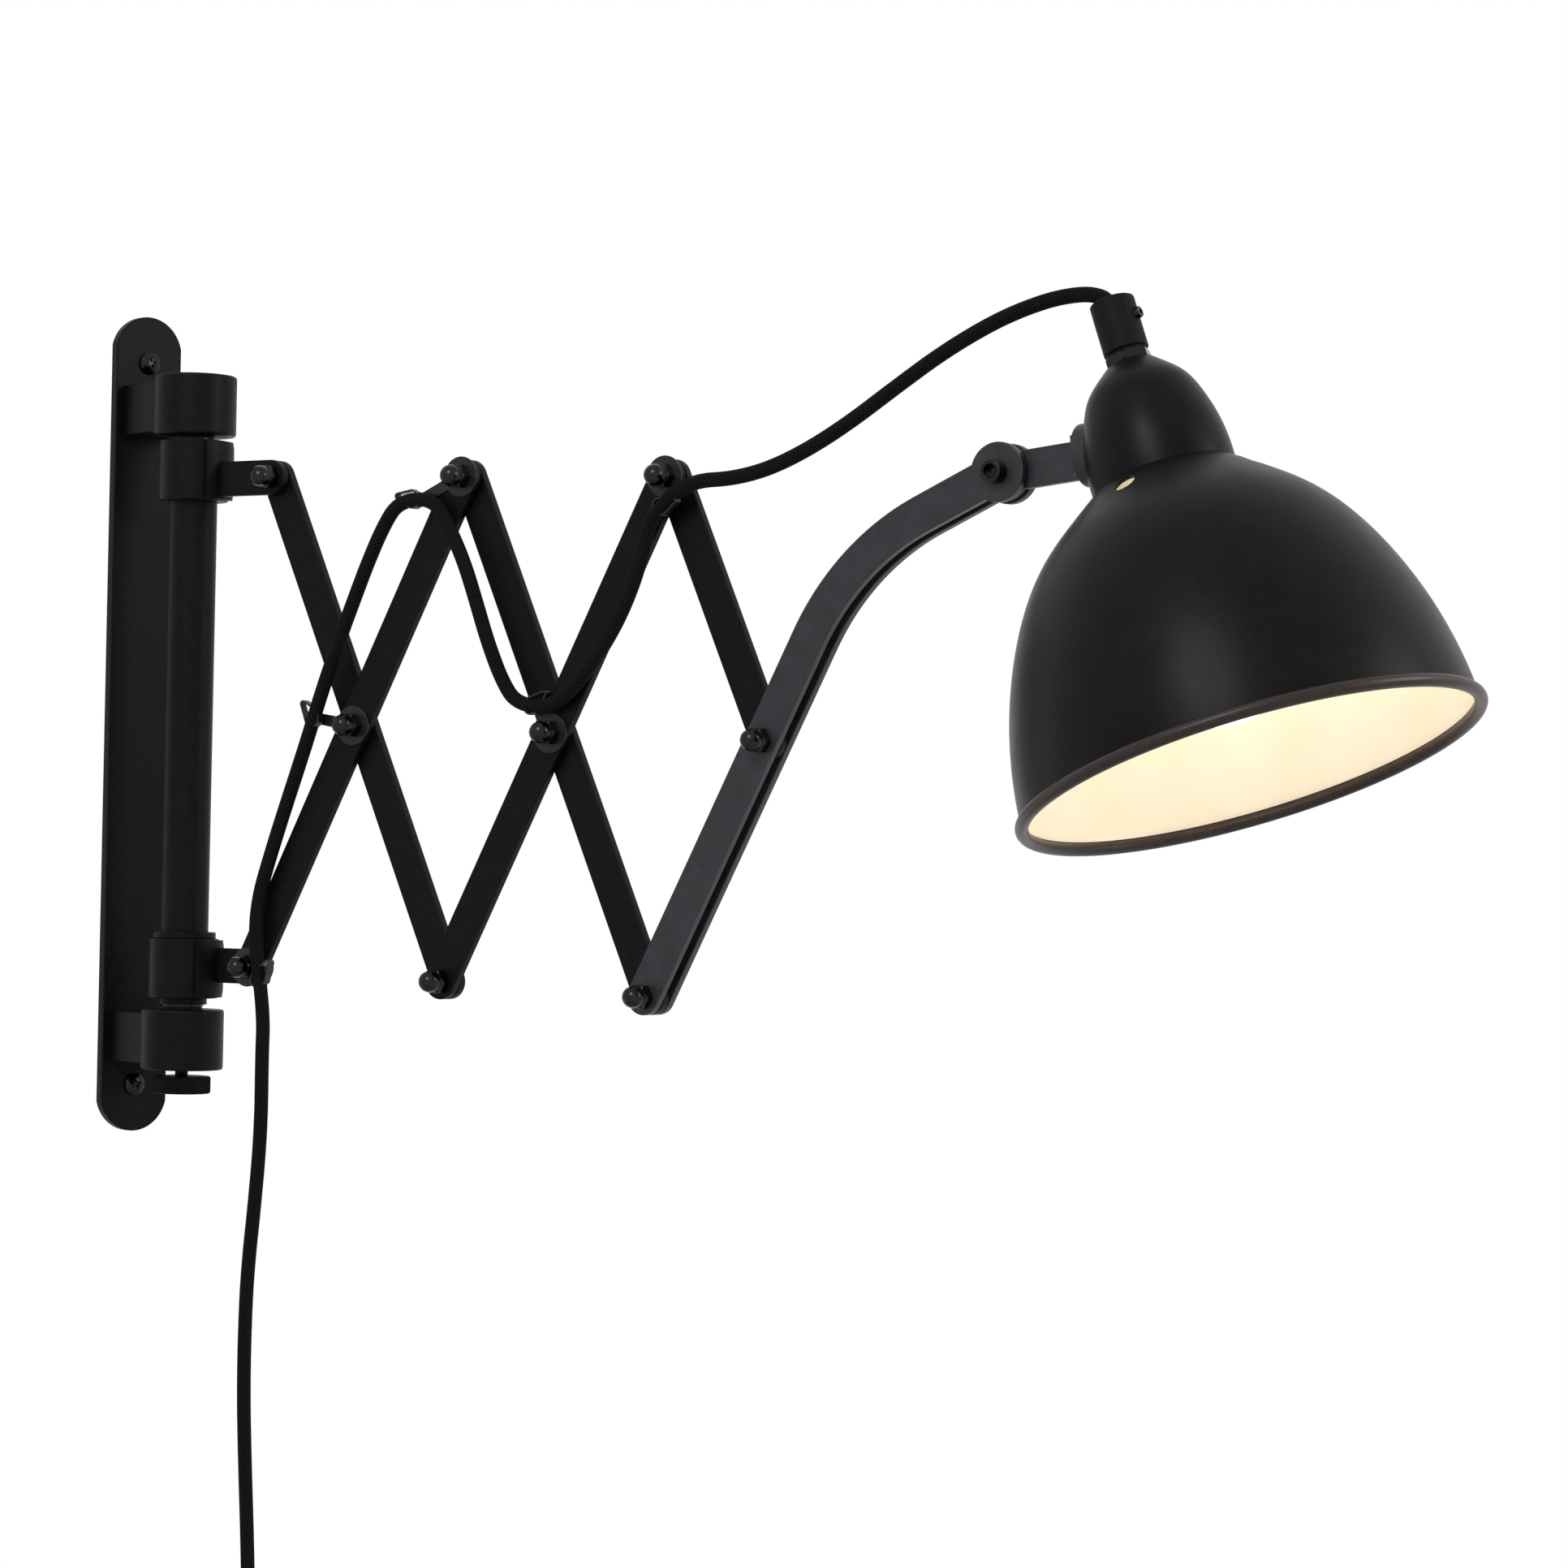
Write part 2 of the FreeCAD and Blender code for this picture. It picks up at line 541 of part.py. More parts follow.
# ---------------------------------------------------------------- scissor bars
RUN_HOLE = BOLT_R + RUN_CLEAR
OPEN_HOLE = BOLT_R + OPEN_CLEAR
OWN_HOLE = BOLT_R + FIXED_CLEAR
on_arm("bar_a1", drilled(flat_bar(top(0), bottom(1), V_BACK),
                         [(top(0), RUN_HOLE), (middle(1), RUN_HOLE), (bottom(1), OWN_HOLE)]))
on_arm("bar_b1", drilled(flat_bar(bottom(0), top(1), V_FRONT),
                         [(bottom(0), RUN_HOLE), (middle(1), OWN_HOLE), (top(1), OWN_HOLE)]))
on_arm("bar_a2", drilled(flat_bar(top(1), bottom(2), V_BACK),
                         [(top(1), RUN_HOLE), (middle(2), RUN_HOLE), (bottom(2), OPEN_HOLE)]))
on_arm("bar_b2", drilled(flat_bar(bottom(1), top(2), V_FRONT),
                         [(bottom(1), OPEN_HOLE), (middle(2), OWN_HOLE), (top(2), OWN_HOLE)]))
on_arm("bar_a3", drilled(flat_bar(top(2), middle(3), V_BACK), [(top(2), RUN_HOLE), (middle(3), RUN_HOLE)]))


# ---------------------------------------------------------------- curved arm
def polar(centre, radius, angle):
    return V(centre[0] + radius * math.cos(angle), 0, centre[1] + radius * math.sin(angle))


def curved_plate(v_mid):
    """One of the two curved plates: straight, bent in its plane, straight, with a round boss."""
    half = BAR_WIDTH / 2
    start = bottom(2)
    along = (math.cos(rise), math.sin(rise))
    out = (-along[1], along[0])
    tip_out = (-math.sin(tip), math.cos(tip))
    first, last = math.pi / 2 + rise, math.pi / 2 + tip
    mid = (first + last) / 2
    s_out = V(start[0] + out[0] * half, 0, start[1] + out[1] * half)
    s_in = V(start[0] - out[0] * half, 0, start[1] - out[1] * half)
    s_end = V(start[0] - along[0] * half, 0, start[1] - along[1] * half)
    h_out = V(HEAD[0] + tip_out[0] * half, 0, HEAD[1] + tip_out[1] * half)
    h_in = V(HEAD[0] - tip_out[0] * half, 0, HEAD[1] - tip_out[1] * half)
    big, small = ARM_BEND_R + half, ARM_BEND_R - half
    edges = [
        Part.LineSegment(s_out, polar(BEND_CENTRE, big, first)).toShape(),
        Part.Arc(polar(BEND_CENTRE, big, first), polar(BEND_CENTRE, big, mid),
                 polar(BEND_CENTRE, big, last)).toShape(),
        Part.LineSegment(polar(BEND_CENTRE, big, last), h_out).toShape(),
        Part.LineSegment(h_out, h_in).toShape(),
        Part.LineSegment(h_in, polar(BEND_CENTRE, small, last)).toShape(),
        Part.Arc(polar(BEND_CENTRE, small, last), polar(BEND_CENTRE, small, mid),
                 polar(BEND_CENTRE, small, first)).toShape(),
        Part.LineSegment(polar(BEND_CENTRE, small, first), s_in).toShape(),
        Part.Arc(s_in, s_end, s_out).toShape(),
    ]
    plate = Part.Face(Part.Wire(edges)).extrude(V(0, BAR_THICK, 0))
    plate.translate(V(0, v_mid - BAR_THICK / 2, 0))
    plate = plate.fuse(across(ARM_BOSS_R, v_mid - BAR_THICK / 2, v_mid + BAR_THICK / 2, HEAD))
    return drilled(plate.removeSplitter(), [(bottom(2), OWN_HOLE), (middle(3), OWN_HOLE), (HEAD, OWN_HOLE)])


def head_bolt():
    """A socket head cap screw through the two bosses, with the head tab between them."""
    head = across(SOCKET_HEAD_R, FRONT_FACE - SOCKET_HEAD_HEIGHT, FRONT_FACE, HEAD)
    end_face = FRONT_FACE - SOCKET_HEAD_HEIGHT
    socket = hexagon(SOCKET_FLATS, SOCKET_DEPTH, V(HEAD[0], end_face, HEAD[1]), V(0, 1, 0))
    shank = across(BOLT_R, FRONT_FACE, REAR_FACE + NUT_HEX_HEIGHT + 1.0, HEAD)
    return head.cut(socket).fuse(shank).removeSplitter()


def head_nut():
    nut = hexagon(NUT_FLATS, NUT_HEX_HEIGHT, V(HEAD[0], REAR_FACE, HEAD[1]), V(0, 1, 0))
    return nut.cut(across(OWN_HOLE, REAR_FACE - 1, REAR_FACE + NUT_HEX_HEIGHT + 1, HEAD))


on_arm("arm_front_plate", curved_plate(V_FRONT))
on_arm("arm_rear_plate", curved_plate(V_REAR))
on_arm("head_bolt", Part.makeCompound([head_bolt(), spacer(HEAD, MID_SPACER), spacer(HEAD, REAR_SPACER)]))
on_arm("head_nut", head_nut())


# ---------------------------------------------------------------- head tab
def head_tab():
    """A flat tab between the bosses, its end bent forwards into a flange."""
    tab = flat_bar((0, 0), (HEAD_TAB_REACH - HEAD_TAB_HEIGHT / 2, 0), V_BACK, HEAD_TAB_HEIGHT)
    square = Part.makeBox(HEAD_TAB_HEIGHT, BAR_THICK, HEAD_TAB_HEIGHT,
                          V(HEAD_TAB_REACH - HEAD_TAB_HEIGHT, V_BACK - BAR_THICK / 2, -HEAD_TAB_HEIGHT / 2))
    flange = Part.makeBox(FLANGE_THICK, FLANGE_SPAN, HEAD_TAB_HEIGHT,
                          V(HEAD_TAB_REACH - FLANGE_THICK, V_BACK + BAR_THICK / 2 - FLANGE_SPAN,
                            -HEAD_TAB_HEIGHT / 2))
    boss = across(ARM_BOSS_R - 1, V_BACK - BAR_THICK / 2, V_BACK + BAR_THICK / 2, (0, 0))
    tab = tab.fuse([square, flange, boss]).removeSplitter()
    tab = tab.cut(across(BOLT_R + RUN_CLEAR, -THROUGH, THROUGH, (0, 0)))
    return tab.cut(cylinder(TAB_SCREW_R + FIXED_CLEAR, 2 * FLANGE_THICK + 2,
                            V(HEAD_TAB_REACH - 2 * FLANGE_THICK, screw_at.y, 0), V(1, 0, 0)))


def tab_screw():
    """The button-head screw on which the shade rolls."""
    face = HEAD_TAB_REACH - FLANGE_THICK
    head = cylinder(TAB_SCREW_HEAD_R, TAB_SCREW_HEAD_THICK, V(face - TAB_SCREW_HEAD_THICK, screw_at.y, 0),
                    V(1, 0, 0))
    head = head.makeFillet(TAB_SCREW_HEAD_THICK * 0.4, [e for e in head.Edges if e.Closed
                                                       and e.BoundBox.XMax < face - 0.1
                                                       and e.BoundBox.XLength < 1e-6])
    length = FLANGE_THICK + ROSETTE_THICK + SHADE_WALL + TAB_NUT_SEAT + TAB_NUT_THICK + 1.0
    return head.fuse(cylinder(TAB_SCREW_R, length, V(face, screw_at.y, 0), V(1, 0, 0))).removeSplitter()


on_head("head_tab", head_tab())
on_head("tab_screw", tab_screw())


# ---------------------------------------------------------------- shade and its fittings
def profile_curve(points):
    curve = Part.BSplineCurve()
    curve.interpolate([V(r, 0, -s) for s, r in points])
    return curve


def offset_points(points, wall):
    """The profile's points moved inwards by the wall, square to the curve."""
    curve = profile_curve(points)
    moved = []
    for s, r in points:
        tangent = curve.tangent(curve.parameter(V(r, 0, -s)))[0]
        moved.append((s + tangent.x * wall, r + tangent.z * wall))
    return moved


def spun(neck, bell, s_top):
    """The solid form inside a neck and a bell profile, closed on the axis at both ends."""
    neck = [(s_top, neck[0][1])] + neck[1:]
    end_s, end_r = bell[-1]
    return turned([profile_curve(neck).toShape(), profile_curve(bell).toShape(),
                   Part.LineSegment(V(0, 0, -s_top), V(neck[0][1], 0, -s_top)).toShape(),
                   Part.LineSegment(V(0, 0, -s_top), V(0, 0, -end_s)).toShape(),
                   Part.LineSegment(V(0, 0, -end_s), V(end_r, 0, -end_s)).toShape()])


def shade_shell():
    """Spun steel: a domed neck and a bell, one wall thick, with a rolled bead at the rim."""
    neck_in = offset_points(SHADE_NECK, SHADE_WALL)
    bell_in = offset_points(SHADE_BELL, SHADE_WALL)
    crease = ((neck_in[-1][0] + bell_in[0][0]) / 2, (neck_in[-1][1] + bell_in[0][1]) / 2)
    neck_in[-1] = crease
    bell_in[0] = crease
    rim_s, rim_r = SHADE_BELL[-1]
    bell_in.append((rim_s + SHADE_WALL, bell_in[-1][1]))
    shell = spun(SHADE_NECK, SHADE_BELL, 0.0).cut(spun(neck_in, bell_in, SHADE_WALL))
    shell = shell.fuse(Part.makeTorus(rim_r, BEAD_R, V(0, 0, -rim_s), V(0, 0, 1)))
    shell = shell.cut(upright(NIPPLE_R + FIXED_CLEAR, -2 * SHADE_WALL, SHADE_WALL))
    for i in range(VENT_COUNT):
        turn = 2 * math.pi * i / VENT_COUNT
        slope = math.radians(VENT_SLOPE_DEG)
        direction = V(math.cos(turn) * math.cos(slope), math.sin(turn) * math.cos(slope), math.sin(slope))
        at = V(VENT_OUT * math.cos(turn), VENT_OUT * math.sin(turn), -VENT_S) - direction * 10
        shell = shell.cut(cylinder(VENT_R, 20, at, direction))
    hole = cylinder(TAB_SCREW_R + FIXED_CLEAR, 12, screw_on_shade - wall_normal() * 6, wall_normal())
    return shell.cut(hole).removeSplitter()


def wall_normal():
    """Out of the neck's wall at the bracket screw."""
    cone = math.radians(SHADE_CONE_DEG)
    return V(-math.cos(cone), 0, math.sin(cone))


def neck_solid():
    """The neck's outer form as a solid, to shape what seats on it."""
    edges = [profile_curve(SHADE_NECK).toShape(),
             Part.LineSegment(V(0, 0, 0), V(SHADE_NECK[0][1], 0, 0)).toShape(),
             Part.LineSegment(V(0, 0, 0), V(0, 0, -SHADE_NECK[-1][0])).toShape(),
             Part.LineSegment(V(0, 0, -SHADE_NECK[-1][0]),
                              V(SHADE_NECK[-1][1], 0, -SHADE_NECK[-1][0])).toShape()]
    return turned(edges)


def rosette():
    """A round pad, flat against the flange and hollowed to the neck behind."""
    normal = wall_normal()
    disc = cylinder(ROSETTE_R, ROSETTE_THICK + 5, screw_on_shade - normal * 5, normal)
    disc = disc.cut(neck_solid())
    return disc.cut(cylinder(TAB_SCREW_R + RUN_CLEAR, 30, screw_on_shade - normal * 15, normal))


def tab_nut():
    normal = wall_normal()
    seat = screw_on_shade - normal * (SHADE_WALL + TAB_NUT_SEAT)
    nut = hexagon(TAB_NUT_FLATS, TAB_NUT_THICK, seat, normal * -1)
    return nut.cut(cylinder(TAB_SCREW_R + RUN_CLEAR, 20, seat + normal * 10, normal * -1))


def down(radius, s0, s1):
    return upright(radius, -s1, -s0)


NIPPLE_TOP = -RING_NUT_THICK - 8.0


def nipple():
    tube = down(NIPPLE_R, NIPPLE_TOP, HOLDER_TOP_S + 8)
    return tube.cut(down(NIPPLE_BORE_R, NIPPLE_TOP, HOLDER_TOP_S + 8))


def ring_nut():
    nut = hexagon(RING_NUT_FLATS, RING_NUT_THICK, V(0, 0, 0), V(0, 0, 1), 15)
    return nut.cut(down(NIPPLE_R + FIXED_CLEAR, -RING_NUT_THICK, 0))


def inner_nut():
    nut = hexagon(INNER_NUT_FLATS, HOLDER_TOP_S - SHADE_WALL, V(0, 0, -HOLDER_TOP_S), V(0, 0, 1), 15)
    return nut.cut(down(NIPPLE_R + FIXED_CLEAR, 0, HOLDER_TOP_S))


def cord_grip():
    """A turned cord grip on the nipple, with a narrow foot, a flared mouth and a hole for its screw."""
    low = RING_NUT_THICK
    high = low + GRIP_HEIGHT
    bore_r = CORD_D / 2 + CORD_CLEAR
    seat_r = NIPPLE_R + FIXED_CLEAR
    step = 0.5 - NIPPLE_TOP
    round_at = GRIP_R - GRIP_EDGE_R
    side = [(round_at, high), (GRIP_MOUTH_R, high), (bore_r, high - GRIP_MOUTH_DEPTH), (bore_r, step),
            (seat_r, step), (seat_r, low), (GRIP_FOOT_R, low), (GRIP_FOOT_R, low + GRIP_FOOT_HEIGHT),
            (GRIP_R, low + GRIP_FOOT_HEIGHT), (GRIP_R, high - GRIP_EDGE_R)]
    points = [V(r, 0, z) for r, z in side]
    edges = [Part.LineSegment(p, q).toShape() for p, q in zip(points, points[1:])]
    bulge = GRIP_EDGE_R * math.sqrt(0.5)
    corner = V(round_at + bulge, 0, high - GRIP_EDGE_R + bulge)
    edges.append(Part.Arc(points[-1], corner, points[0]).toShape())
    hole = cylinder(GRIP_SCREW_R + FIXED_CLEAR, 2 * GRIP_R, V(0, 0, grip_screw_z()), V(1, 0, 0))
    return turned(edges).cut(hole)


def grip_screw_z():
    return RING_NUT_THICK + GRIP_HEIGHT - GRIP_SCREW_DROP


def grip_screw():
    """The set screw that holds the cord, its head proud of the grip on the outer side."""
    start = CORD_D / 2 + 2 * CORD_CLEAR
    length = GRIP_R - start + GRIP_SCREW_PROUD
    return cylinder(GRIP_SCREW_R, length, V(start, 0, grip_screw_z()), V(1, 0, 0))


def lampholder():
    """Screw lampholder: a stepped cap and a skirt, open below for the bulb."""
    s0 = HOLDER_TOP_S
    s1 = s0 + HOLDER_CAP_HEIGHT
    s2 = s1 + HOLDER_SKIRT_HEIGHT
    cone = Part.makeCone(HOLDER_CAP_R, HOLDER_CAP_TOP_R, HOLDER_CAP_CONE, V(0, 0, -s0 - HOLDER_CAP_CONE))
    body = cone.fuse([down(HOLDER_CAP_R, s0 + HOLDER_CAP_CONE, s1), down(HOLDER_SKIRT_R, s1, s2)])
    body = body.cut(down(BULB_NECK_R + 1.0, s2 - BULB_NECK_DEPTH - 2, s2))
    body = body.cut(down(NIPPLE_R + FIXED_CLEAR, s0, s0 + 8.5))
    return body.removeSplitter()


def bulb():
    """A standard pear-shaped bulb, its neck in the lampholder."""
    mouth = HOLDER_TOP_S + HOLDER_CAP_HEIGHT + HOLDER_SKIRT_HEIGHT
    centre = BULB_TIP_S - BULB_R
    cap_top = mouth - BULB_NECK_DEPTH
    joint_s = centre - BULB_JOINT
    joint_r = math.sqrt(BULB_R ** 2 - BULB_JOINT ** 2)
    glass_top = mouth + 2
    flank = profile_curve([(glass_top, BULB_NECK_R + 0.8), (mouth + 18, 18.5), (joint_s, joint_r)])
    pear = turned([flank.toShape(), Part.LineSegment(V(0, 0, -joint_s), V(joint_r, 0, -joint_s)).toShape(),
                   Part.LineSegment(V(0, 0, -joint_s), V(0, 0, -glass_top)).toShape(),
                   Part.LineSegment(V(0, 0, -glass_top), V(BULB_NECK_R + 0.8, 0, -glass_top)).toShape()])
    joint_angle = -math.degrees(math.asin(BULB_JOINT / BULB_R))
    ball = Part.makeSphere(BULB_R, V(0, 0, -centre), V(0, 0, -1), joint_angle, 90)
    return pear.fuse([ball, down(BULB_NECK_R, cap_top, glass_top)]).removeSplitter()


on_shade("shade_shell", shade_shell())
on_shade("rosette", rosette())
on_shade("tab_screw_nut", tab_nut())
on_shade("holder_nipple", nipple())
on_shade("ring_nut", ring_nut())
on_shade("inner_nut", inner_nut())
on_shade("cord_grip", cord_grip())
on_shade("grip_screw", grip_screw())
on_shade("lampholder", lampholder())
on_shade("bulb", bulb())


# ---------------------------------------------------------------- cord
SHARE = 0.45


def cord_path(points):
    """Straight runs joined by tangent arcs; also gives the path's length and its radii.

    An arc uses up to SHARE of a run that it shares with the next arc. At an end it leaves the cord
    straight for half a clip's width.
    """
    pts = [V(*p) for p in points]
    edges, at, total, radii = [], pts[0], 0.0, []
    last = len(pts) - 2
    for i in range(1, last + 1):
        corner = pts[i]
        into, out = (corner - pts[i - 1]), (pts[i + 1] - corner)
        ends = CLIP_WIDTH / 2 + BODY_GAP
        reach = min(into.Length - ends if i == 1 else into.Length * SHARE,
                    out.Length - ends if i == last else out.Length * SHARE)
        into.normalize()
        out.normalize()
        turn = into.getAngle(out)
        radius = reach / math.tan(turn / 2)
        radii.append(radius)
        start, end = corner - into * reach, corner + out * reach
        inward = (out - into).normalize()
        centre = corner + inward * (radius / math.cos(turn / 2))
        mid = centre - inward * radius
        edges += [Part.LineSegment(at, start).toShape(), Part.Arc(start, mid, end).toShape()]
        total += (start - at).Length + radius * turn
        at = end
    edges.append(Part.LineSegment(at, pts[-1]).toShape())
    return Part.Wire(edges), total + (pts[-1] - at).Length, radii


def cord_tube(name, points):
    wire, length, radii = cord_path(points)
    first = (V(*points[1]) - V(*points[0])).normalize()
    disc = Part.Face(Part.Wire(Part.makeCircle(CORD_D / 2, V(*points[0]), first)))
    tube = wire.makePipeShell([disc.OuterWire], True, False)
    ideal = math.pi * (CORD_D / 2) ** 2 * length
    print("%s: length %.0f mm, smallest radius %.1f mm, volume ratio %.4f" % (
        name, length, min(radii), tube.Volume / ideal))
    print("   radii", " ".join("%.0f" % r for r in radii))
    return tube


# where each clip holds the cord, u and z, and the cord's direction there on its way to the shade
CLIPS = {
    "bottom": (54.6, -117.3, 102.0),
    "first_middle": (79.6, 2.5, 72.0),
    "first_top": (131.5, 101.7, 5.7),
    "second_middle": (201.5, 11.5, -4.1),
    "second_top": (265.2, 98.9, 46.0),
}


def held(name, distance=0.0):
    """A route point on the cord's line through a clip."""
    u, z, angle = CLIPS[name]
    a = math.radians(angle)
    return u + distance * math.cos(a), CORD_V, z + distance * math.sin(a)


def off_grip(along, lateral):
    """A route point by the cord grip's mouth: along its axis, and sideways towards the wall."""
    return tuple(GRIP_TOP + GRIP_UP * along + GRIP_SIDE * lateral)


GRIP_TOP = shade_placement.multVec(V(0, 0, RING_NUT_THICK + GRIP_HEIGHT))
GRIP_UP = shade_placement.Rotation.multVec(V(0, 0, 1))
GRIP_SIDE = shade_placement.Rotation.multVec(V(-1, 0, 0))


def flat_route(*places):
    """Route points in the plane of the clipped cord, from their u and z."""
    return [(u, CORD_V, z) for u, z in places]


DROP = [held("bottom"), held("bottom", -16)] + flat_route(
    (58.0, -152.0), (59.3, -185.0), (57.6, -218.0), (55.0, -250.0), (54.9, -280.0), (56.0, -309.0),
    (58.4, -338.0), (61.4, -369.0), (63.8, -399.0), (63.6, -428.0))
FIRST = [held("bottom"), held("bottom", 17)] + flat_route(
    (51.6, -81.0), (58.2, -59.5), (65.9, -37.0)) + [
    held("first_middle", -12), held("first_middle", 13)] + flat_route(
    (92.8, 39.5), (101.2, 60.0), (106.6, 73.0), (114.5, 89.5)) + [
    held("first_top", -9), held("first_top")]
SECOND = [held("first_top"), held("first_top", 10)] + flat_route(
    (151.0, 90.5), (160.5, 74.5), (167.9, 57.5), (175.3, 39.5), (184.0, 22.5)) + [
    held("second_middle", -9), held("second_middle")]
THIRD = [held("second_middle"), held("second_middle", 9)] + flat_route(
    (221.5, 18.5), (233.0, 31.5), (243.4, 46.5), (251.4, 63.0), (256.6, 79.5)) + [
    held("second_top", -9), held("second_top")]
ARC = [held("second_top"), held("second_top", 9), (284.0, -8.0, 110.2), (300.5, -8.4, 110.8),
       (319.0, -8.8, 114.6), (338.5, -9.0, 122.6), (359.0, -9.0, 134.0), (381.0, -9.0, 148.6),
       (403.5, -8.6, 163.2), (427.0, -7.6, 175.6), (446.0, -6.2, 182.6), off_grip(10.6, 17.6),
       off_grip(6.4, 6.4), off_grip(0.0, 0.0), off_grip(-9.0, 0.0)]

# ---------------------------------------------------------------- wound lead and its plug
COIL_CENTRE = V(DROP[-1][0] - COIL_MEAN_R, DROP[-1][1], COIL_Z)
TAIL_FOOT = V(COIL_CENTRE.x - COIL_MEAN_R, COIL_CENTRE.y, COIL_CENTRE.z - TAIL_DROP)


def coil():
    """The wound lead as one ring of the coil's outer shape, hanging on edge."""
    half_w, half_h = COIL_SECTION_W / 2, COIL_SECTION_H / 2
    section = Part.makePolygon([V(COIL_MEAN_R - half_h, 0, -half_w), V(COIL_MEAN_R + half_h, 0, -half_w),
                                V(COIL_MEAN_R + half_h, 0, half_w), V(COIL_MEAN_R - half_h, 0, half_w),
                                V(COIL_MEAN_R - half_h, 0, -half_w)])
    solid = turned(section.Edges)
    solid = solid.makeFillet(CORD_D / 2, solid.Edges)
    solid.Placement = FreeCAD.Placement(COIL_CENTRE, FreeCAD.Rotation(V(0, 0, 1), V(0, 1, 0)))
    return solid


def rounded_section(width, depth, radius, z):
    """A rectangle with round corners, as a wire across the plug's axis."""
    w, d = width / 2 - radius, depth / 2 - radius
    edges = []
    for i, (cx, cy) in enumerate(((w, d), (-w, d), (-w, -d), (w, -d))):
        first = math.pi / 2 * i
        points = [V(cx + radius * math.cos(first + t), cy + radius * math.sin(first + t), z)
                  for t in (0, math.pi / 4, math.pi / 2)]
        edges.append(Part.Arc(*points).toShape())
    corners = [e.Vertexes for e in edges]
    loop = []
    for i in range(4):
        loop.append(edges[i])
        loop.append(Part.LineSegment(corners[i][-1].Point, corners[(i + 1) % 4][0].Point).toShape())
    return Part.Wire(loop)


def plug_body():
    """A flat two-pin plug body that tapers to the cord."""
    sections = [rounded_section(10.0, 9.0, 3.0, 0.0), rounded_section(19.0, 12.5, 4.0, -9.0),
                rounded_section(PLUG_WIDTH, PLUG_DEPTH_Y, 4.5, -20.0),
                rounded_section(PLUG_WIDTH, PLUG_DEPTH_Y, 4.5, -PLUG_BODY_LENGTH)]
    body = Part.makeLoft(sections, True, True)
    for pin in plug_pin_places():
        body = body.cut(cylinder(PLUG_PIN_R + FIXED_CLEAR, PLUG_PIN_ROOT + FIXED_CLEAR, pin, V(0, 0, 1)))
    return body


def plug_pin_places():
    return [V(side * PLUG_PIN_SPACING / 2, 0, -PLUG_BODY_LENGTH) for side in (-1, 1)]


def plug_pins():
    pins = [cylinder(PLUG_PIN_R, PLUG_PIN_LENGTH + PLUG_PIN_ROOT, pin - V(0, 0, PLUG_PIN_LENGTH), V(0, 0, 1))
            for pin in plug_pin_places()]
    return Part.makeCompound(pins)


plug_placement = FreeCAD.Placement(TAIL_FOOT, FreeCAD.Rotation())
on_arm("cord_coil", coil())
nodes["plug_body"] = place(plug_body(), plug_placement, arm_placement)
nodes["plug_pins"] = place(plug_pins(), plug_placement, arm_placement)
TAIL = [(TAIL_FOOT.x, TAIL_FOOT.y, COIL_CENTRE.z), (TAIL_FOOT.x, TAIL_FOOT.y, TAIL_FOOT.z)]


def straight_cord(points):
    start, end = V(*points[0]), V(*points[1])
    return cylinder(CORD_D / 2, (end - start).Length, start, end - start)


for cord_name, cord_points in (("cord_drop", DROP), ("cord_first", FIRST), ("cord_second", SECOND),
                               ("cord_third", THIRD), ("cord_arc", ARC)):
    tube = cord_tube(cord_name, cord_points)
    if cord_name == "cord_drop":
        tube = tube.cut(coil())
    on_arm(cord_name, tube)
on_arm("cord_tail", straight_cord(TAIL).cut(coil()))


# ---------------------------------------------------------------- cord clips
def cord_clip(name, pivot, eye_face):
    """A sheet metal clip: an eye under the cap nut, a strap, and a loop that closes on the cord."""
    u, z, angle = CLIPS[name]
    a = math.radians(angle)
    loop_r = CORD_D / 2 + CLIP_CLEAR
    strap_mid = eye_face - CLIP_THICK / 2
    eye = across(CLIP_EYE_R, eye_face - CLIP_THICK, eye_face, pivot)
    strap = flat_bar(pivot, (u, z), strap_mid, CLIP_WIDTH, CLIP_THICK)
    along = V(math.cos(a), 0, math.sin(a))
    start = V(u, CORD_V, z) - along * (CLIP_WIDTH / 2)
    loop = cylinder(loop_r + CLIP_THICK, CLIP_WIDTH, start, along)
    clip = eye.fuse([strap, loop])
    clip = clip.cut(cylinder(loop_r, 3 * CLIP_WIDTH, start - along * CLIP_WIDTH, along))
    return clip.cut(across(BOLT_R + FIXED_CLEAR, -THROUGH, THROUGH, pivot))


on_arm("cord_clip_bottom", cord_clip("bottom", bottom(0), FRONT_FACE - BODY_GAP))
on_arm("bar_b1_cord_clips", Part.makeCompound([cord_clip("first_middle", middle(1), FRONT_FACE),
                                               cord_clip("first_top", top(1), FRONT_FACE)]))
on_arm("bar_b2_cord_clips", Part.makeCompound([cord_clip("second_middle", middle(2), FRONT_FACE),
                                               cord_clip("second_top", top(2), FRONT_FACE)]))

for name in sorted(nodes):
    shape = nodes[name]
    if not shape.isValid() or not shape.Solids:
        print("PROBLEM", name, shape.isValid(), len(shape.Solids))
    shape.exportStep("parts/%s.step" % name)
print("shade top", shade_placement.Base, "rim", shade_placement.multVec(V(0, 0, -SHADE_BELL[-1][0])))
print(len(nodes), "nodes; head pivot", [round(c, 2) for c in HEAD], "grip top", GRIP_TOP)
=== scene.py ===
"""Looks of an accordion wall lamp: black powder-coated steel, a braided cord, a lit enamel shade.

Each section dresses one group of pieces, in the order in which the lamp is put together.
Sizes are in millimetres until a mesh is placed. The arm is drawn flat in its own frame, u along the
arm, v across its layers (away from the front) and z up. That frame hangs from the upper tab's pivot.
"""
import math

import bpy
import numpy as np
from mathutils import Matrix, Vector


